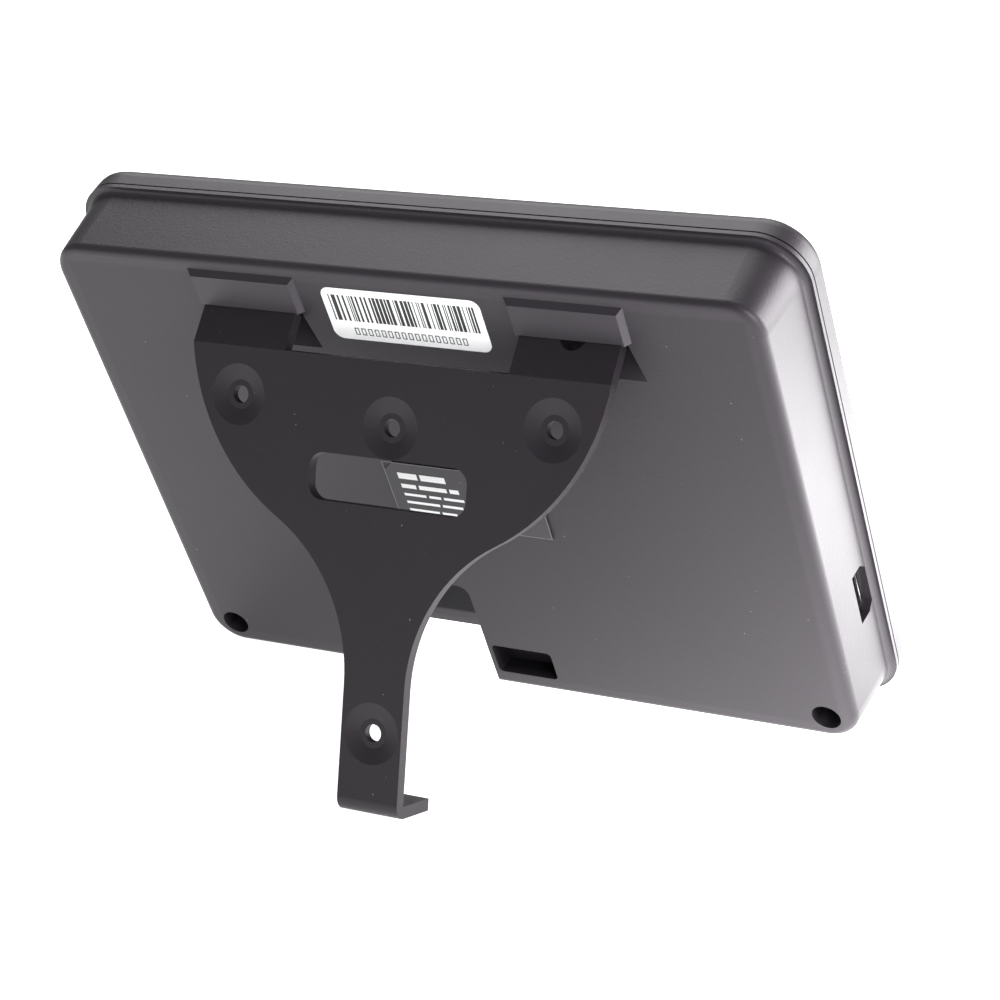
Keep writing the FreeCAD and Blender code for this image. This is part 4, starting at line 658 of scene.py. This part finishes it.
class TERMINAL_OT_sensor(bpy.types.Operator):
    """Finish the fingerprint sensor: bezel, bright ring and glass platen"""
    bl_idname = "terminal.sensor"
    bl_label = "Fingerprint sensor"

    def execute(self, context):
        sizes = context.scene.terminal_sizes
        dress(plastic("bezel_plastic", (0.02, 0.02, 0.022), roughness=0.22, strength=0.1), "sensor_bezel")
        dress(gloss("platen_glass", (0.05, 0.012, 0.014), roughness=0.12), "sensor_platen")
        low, high = case_box("sensor_platen")
        front = case_box("sensor_bezel")[0].y
        bm = bmesh.new()
        ring = sizes.ring_width
        reach = 0.5 * MM + ring
        slab_into(bm, (low.x - reach, high.x + reach), (front, front + ring), (low.z - reach, high.z + reach),
                  2.2 * MM, segments=6)
        open_up(bm, [f for f in bm.faces if flat_to_y(f)], ring)
        steel = metal("ring_steel", (0.6, 0.6, 0.62), roughness=0.2)
        smooth(piece("sensor_ring", bm, "case", steel))
        return {"FINISHED"}


class TERMINAL_OT_keys(bpy.types.Operator):
    """Finish the keys and print their figures and signs"""
    bl_idname = "terminal.keys"
    bl_label = "Keys"

    def execute(self, context):
        sizes, colours = context.scene.terminal_sizes, context.scene.terminal_colours
        dress(plastic("key_plastic", colours.keys, roughness=0.38), *KEYS)
        ink = ink_material("legend_ink", (0.72, 0.73, 0.75))
        for name in KEYS:
            sign = name.removeprefix("key_")
            bm = bmesh.new()
            if sign.isdigit():
                add_text(bm, sign, sizes.legend_height, (0, 0, 0), sizes.print_thickness / 2)
            else:
                getattr(self, sign)(bm, sizes.glyph_size)
            low, high = case_box(name)
            face = ((low.x + high.x) / 2, low.y + sizes.print_thickness / 4, (low.z + high.z) / 2)
            bmesh.ops.translate(bm, vec=face, verts=bm.verts)
            piece(name + "_legend", bm, name, ink)
        return {"FINISHED"}

    def bar(self, bm, x, z, turn=0.0):
        """A printed bar, turned about the key's middle."""
        deep = bpy.context.scene.terminal_sizes.print_thickness / 2
        made = box_into(bm, x, (-deep, deep), z)
        bmesh.ops.rotate(bm, verts=made, cent=(0, 0, 0), matrix=Matrix.Rotation(turn, 3, "Y"))
        return made

    def arrow(self, bm, size, turn):
        """A three-cornered arrow head, turned from pointing up."""
        deep = bpy.context.scene.terminal_sizes.print_thickness
        made = bmesh.ops.create_cone(bm, cap_ends=True, cap_tris=False, segments=3, radius1=size / 2,
                                     radius2=size / 2, depth=deep)["verts"]
        bmesh.ops.rotate(bm, verts=made, cent=(0, 0, 0), matrix=Matrix.Rotation(math.pi / 2, 3, "X"))
        bmesh.ops.rotate(bm, verts=made, cent=(0, 0, 0), matrix=Matrix.Rotation(turn, 3, "Y"))

    def up(self, bm, size):
        self.arrow(bm, size, 0.0)

    def down(self, bm, size):
        self.arrow(bm, size, math.pi)

    def menu(self, bm, size):
        for rise in (-size * 0.32, 0, size * 0.32):
            self.bar(bm, (-size / 2, size / 2), (rise - size * 0.06, rise + size * 0.06))

    def escape(self, bm, size):
        for turn in (math.pi / 4, -math.pi / 4):
            self.bar(bm, (-size / 2, size / 2), (-size * 0.07, size * 0.07), turn)

    def ok(self, bm, size):
        short = self.bar(bm, (-size * 0.22, size * 0.12), (-size * 0.07, size * 0.07), math.pi / 4)
        bmesh.ops.translate(bm, vec=(-size * 0.28, 0, -size * 0.12), verts=short)
        long = self.bar(bm, (-size * 0.4, size * 0.4), (-size * 0.07, size * 0.07), -math.pi / 4)
        bmesh.ops.translate(bm, vec=(size * 0.12, 0, 0), verts=long)

    def power(self, bm, size):
        """An open ring with a bar in its gap."""
        self.bar(bm, (-size * 0.06, size * 0.06), (size * 0.05, size * 0.55))
        deep = bpy.context.scene.terminal_sizes.print_thickness / 2
        inner, outer = size * 0.36, size * 0.48
        section = ((inner, -deep), (outer, -deep), (outer, deep), (inner, deep))
        corners = [bm.verts.new((x, y, 0)) for x, y in section]
        end = bm.faces.new(corners)
        start_turn, sweep = math.radians(-55), math.radians(290)
        bmesh.ops.rotate(bm, verts=corners, cent=(0, 0, 0), matrix=Matrix.Rotation(start_turn, 3, "Y"))
        swept = bmesh.ops.duplicate(bm, geom=[end])["geom"]
        bmesh.ops.spin(bm, geom=swept, cent=(0, 0, 0), axis=(0, 1, 0), angle=sweep, steps=28)
        bmesh.ops.remove_doubles(bm, verts=bm.verts, dist=1e-6)


class TERMINAL_OT_sockets(bpy.types.Operator):
    """Finish the USB, network and power sockets"""
    bl_idname = "terminal.sockets"
    bl_label = "Sockets"

    def execute(self, context):
        nickel = metal("nickel", (0.72, 0.71, 0.7), roughness=0.22)
        dress(nickel, "usb_shell", "power_jack_pin")
        self.port_lip(nickel)
        dress(metal("gold", (0.83, 0.62, 0.28), roughness=0.25), "usb_contacts", "network_contacts")
        dress(plastic("socket_plastic", (0.012, 0.012, 0.013), roughness=0.5), "network_socket", "power_jack")
        dress(plastic("usb_insert", (0.03, 0.03, 0.032), roughness=0.4), "usb_tongue")
        return {"FINISHED"}

    def port_lip(self, nickel):
        """The rolled lip in front of the port's shell, and the springs that grip a plug."""
        low, high = case_box("usb_shell")
        bm = bmesh.new()
        lip, stand = 0.55 * MM, 0.5 * MM
        between = (low.y + lip, high.y - lip)
        for y, z in (((low.y, low.y + lip), (low.z, high.z)), ((high.y - lip, high.y), (low.z, high.z)),
                     (between, (low.z, low.z + lip)), (between, (high.z - lip, high.z))):
            box_into(bm, (low.x - stand, low.x), y, z)
        bmesh.ops.remove_doubles(bm, verts=bm.verts, dist=1e-6)
        root, lift = low.x + 5.0 * MM, low.y + 0.35 * MM
        half_spring, half_space = 0.8 * MM, 3.4 * MM
        middle = (low.z + high.z) / 2
        for z in (middle - half_space, middle + half_space):
            spring = box_into(bm, (low.x + 0.6 * MM, root), (lift, lift + 0.25 * MM),
                              (z - half_spring, z + half_spring))
            bmesh.ops.rotate(bm, verts=spring, cent=(root, lift, z),
                             matrix=Matrix.Rotation(math.radians(7), 3, "Z"))
        soften(bm, [e for e in bm.edges if e.calc_length() > 0.3 * MM], 0.06 * MM, 2)
        smooth(piece("usb_lip", bm, "case", nickel))


class TERMINAL_OT_inside(bpy.types.Operator):
    """Finish what the case holds: boards, chips, membrane, speaker, screws and ribbons"""
    bl_idname = "terminal.inside"
    bl_label = "Inner parts"

    def execute(self, context):
        dress(plastic("solder_mask", (0.015, 0.12, 0.04), roughness=0.35, grain=700.0), "main_board",
              "keypad_board", "sensor_board")
        dress(plastic("chip_epoxy", (0.015, 0.015, 0.016), roughness=0.5), "processor_chip", "memory_chips",
              "network_transformer", "power_inductor")
        dress(plastic("inner_plastic", (0.02, 0.02, 0.02), roughness=0.5), "sensor_housing",
              "sensor_connector", "speaker_frame", "clock_cell_holder")
        dress(plastic("relay_case", (0.02, 0.06, 0.22), roughness=0.4), "door_relay")
        dress(plastic("silicone", (0.24, 0.24, 0.24), roughness=0.6), "keypad_membrane")
        dress(plastic("ribbon_film", (0.42, 0.2, 0.04), roughness=0.35), "display_ribbon", "keypad_ribbon")
        dress(plastic("cone_paper", (0.03, 0.03, 0.03), roughness=0.8, strength=0.6), "speaker_cone")
        dress(metal("plated_steel", (0.55, 0.55, 0.56), roughness=0.35), "display_frame", "clock_cell",
              "board_screws", "keypad_screws")
        dress(metal("black_steel", (0.05, 0.05, 0.052), roughness=0.4), "case_screws")
        dress(metal("can_aluminium", (0.78, 0.78, 0.8), roughness=0.3), "power_capacitors")
        return {"FINISHED"}


class TERMINAL_OT_stage(bpy.types.Operator):
    """Set up the pale floor, the soft studio light and the camera"""
    bl_idname = "terminal.stage"
    bl_label = "Studio"

    def execute(self, context):
        studio = context.scene.terminal_studio
        self.floor(studio)
        self.room(context.scene, studio.room_light)
        self.softbox("side_softbox", (-0.62, -0.46, 0.20), (-0.09, 0.0, 0.07), 0.50, studio.side_light)
        self.softbox("fill_softbox", (-1.05, 0.60, 0.42), (0.0, 0.0, 0.06), 0.7, studio.fill_light)
        self.softbox("top_softbox", (0.30, -0.55, 0.95), (0.0, 0.0, 0.08), 0.9, studio.top_light)
        self.camera(context.scene, studio)
        context.scene.view_settings.view_transform = "Standard"
        return {"FINISHED"}

    SPOT = (-0.20, -0.15, 0.0)
    SPOT_RADIUS = 0.31

    def floor(self, studio):
        """A backlit table, brightest on the port's side."""
        bm = bmesh.new()
        bmesh.ops.create_grid(bm, x_segments=2, y_segments=2, size=30.0)
        mesh = bpy.data.meshes.new("floor")
        bm.to_mesh(mesh)
        bm.free()
        material, tree, shader, place = blank_material("floor_paper")
        noise = add(tree, "ShaderNodeTexNoise", {"Vector": place, "Scale": 3.0, "Detail": 2.0})
        tone = mixed(tree, noise.outputs["Fac"], (0.93, 0.93, 0.93, 1), (0.95, 0.95, 0.95, 1))
        tree.links.new(tone, shader.inputs["Base Color"])
        shader.inputs["Roughness"].default_value = 0.9
        centred = add(tree, "ShaderNodeMapping", {"Vector": place,
                                                  "Location": tuple(-c / self.SPOT_RADIUS for c in self.SPOT),
                                                  "Scale": (1 / self.SPOT_RADIUS,) * 3})
        spot = add(tree, "ShaderNodeTexGradient", {"Vector": centred.outputs[0]},
                   gradient_type="QUADRATIC_SPHERE")
        glow = ranged(tree, spot.outputs["Fac"], studio.floor_glow, studio.floor_glow + studio.spot_glow)
        tree.links.new(glow, shader.inputs["Emission Strength"])
        shader.inputs["Emission Color"].default_value = (1.0, 1.0, 1.0, 1)
        mesh.materials.append(material)
        item = bpy.data.objects.new("floor", mesh)
        bpy.context.scene.collection.objects.link(item)

    def room(self, scene, strength):
        """A dim room, which the camera sees as a white backdrop."""
        world = bpy.data.worlds.new("white_room")
        scene.world = world
        world.use_nodes = True
        tree = world.node_tree
        background = tree.nodes["Background"]
        background.inputs["Color"].default_value = (1.0, 1.0, 1.0, 1)
        seen = add(tree, "ShaderNodeLightPath").outputs["Is Camera Ray"]
        tree.links.new(ranged(tree, seen, strength, 1.0), background.inputs["Strength"])

    def softbox(self, name, place, target, size, power):
        """A square soft light that faces its target."""
        light = bpy.data.lights.new(name, "AREA")
        light.shape = "SQUARE"
        light.size = size
        light.energy = power
        item = bpy.data.objects.new(name, light)
        bpy.context.scene.collection.objects.link(item)
        item.location = place
        item.rotation_euler = (Vector(target) - Vector(place)).to_track_quat("-Z", "Y").to_euler()

    def camera(self, scene, studio):
        """The camera, on a line through its target."""
        look = Vector((math.sin(studio.azimuth) * math.cos(studio.elevation),
                       math.cos(studio.azimuth) * math.cos(studio.elevation), -math.sin(studio.elevation)))
        data = bpy.data.cameras.new("camera")
        data.lens = studio.focal_length
        data.sensor_width = 36.0
        item = bpy.data.objects.new("camera", data)
        scene.collection.objects.link(item)
        item.location = Vector(studio.target) - look * studio.distance
        level = look.to_track_quat("-Z", "Y").to_matrix()
        item.rotation_euler = (level @ Matrix.Rotation(studio.roll, 3, "Z")).to_euler()
        scene.camera = item


PIECES = (TERMINAL_OT_stage, TERMINAL_OT_case, TERMINAL_OT_bracket, TERMINAL_OT_sticker,
          TERMINAL_OT_nameplate, TERMINAL_OT_front, TERMINAL_OT_sensor, TERMINAL_OT_keys,
          TERMINAL_OT_sockets, TERMINAL_OT_inside)


class TERMINAL_PT_panel(bpy.types.Panel):
    """Lists the pieces of the terminal"""
    bl_idname = "TERMINAL_PT_panel"
    bl_label = "Fingerprint terminal"
    bl_space_type = "VIEW_3D"
    bl_region_type = "UI"
    bl_category = "Terminal"

    def draw(self, context):
        scene = context.scene
        column = self.layout.column()
        for settings in (scene.terminal_sizes, scene.terminal_colours, scene.terminal_studio):
            for name in settings.__annotations__:
                column.prop(settings, name)
        for operator in PIECES:
            column.operator(operator.bl_idname)


CLASSES = (TerminalSizes, TerminalColours, TerminalStudio, *PIECES, TERMINAL_PT_panel)


def register():
    for cls in CLASSES:
        bpy.utils.register_class(cls)
    bpy.types.Scene.terminal_sizes = bpy.props.PointerProperty(type=TerminalSizes)
    bpy.types.Scene.terminal_colours = bpy.props.PointerProperty(type=TerminalColours)
    bpy.types.Scene.terminal_studio = bpy.props.PointerProperty(type=TerminalStudio)


def unregister():
    del bpy.types.Scene.terminal_studio
    del bpy.types.Scene.terminal_colours
    del bpy.types.Scene.terminal_sizes
    for cls in reversed(CLASSES):
        bpy.utils.unregister_class(cls)


def main():
    """Makes every piece in order."""
    register()
    for operator in PIECES:
        group, name = operator.bl_idname.split(".")
        getattr(getattr(bpy.ops, group), name)()


if __name__ == "__main__":
    main()
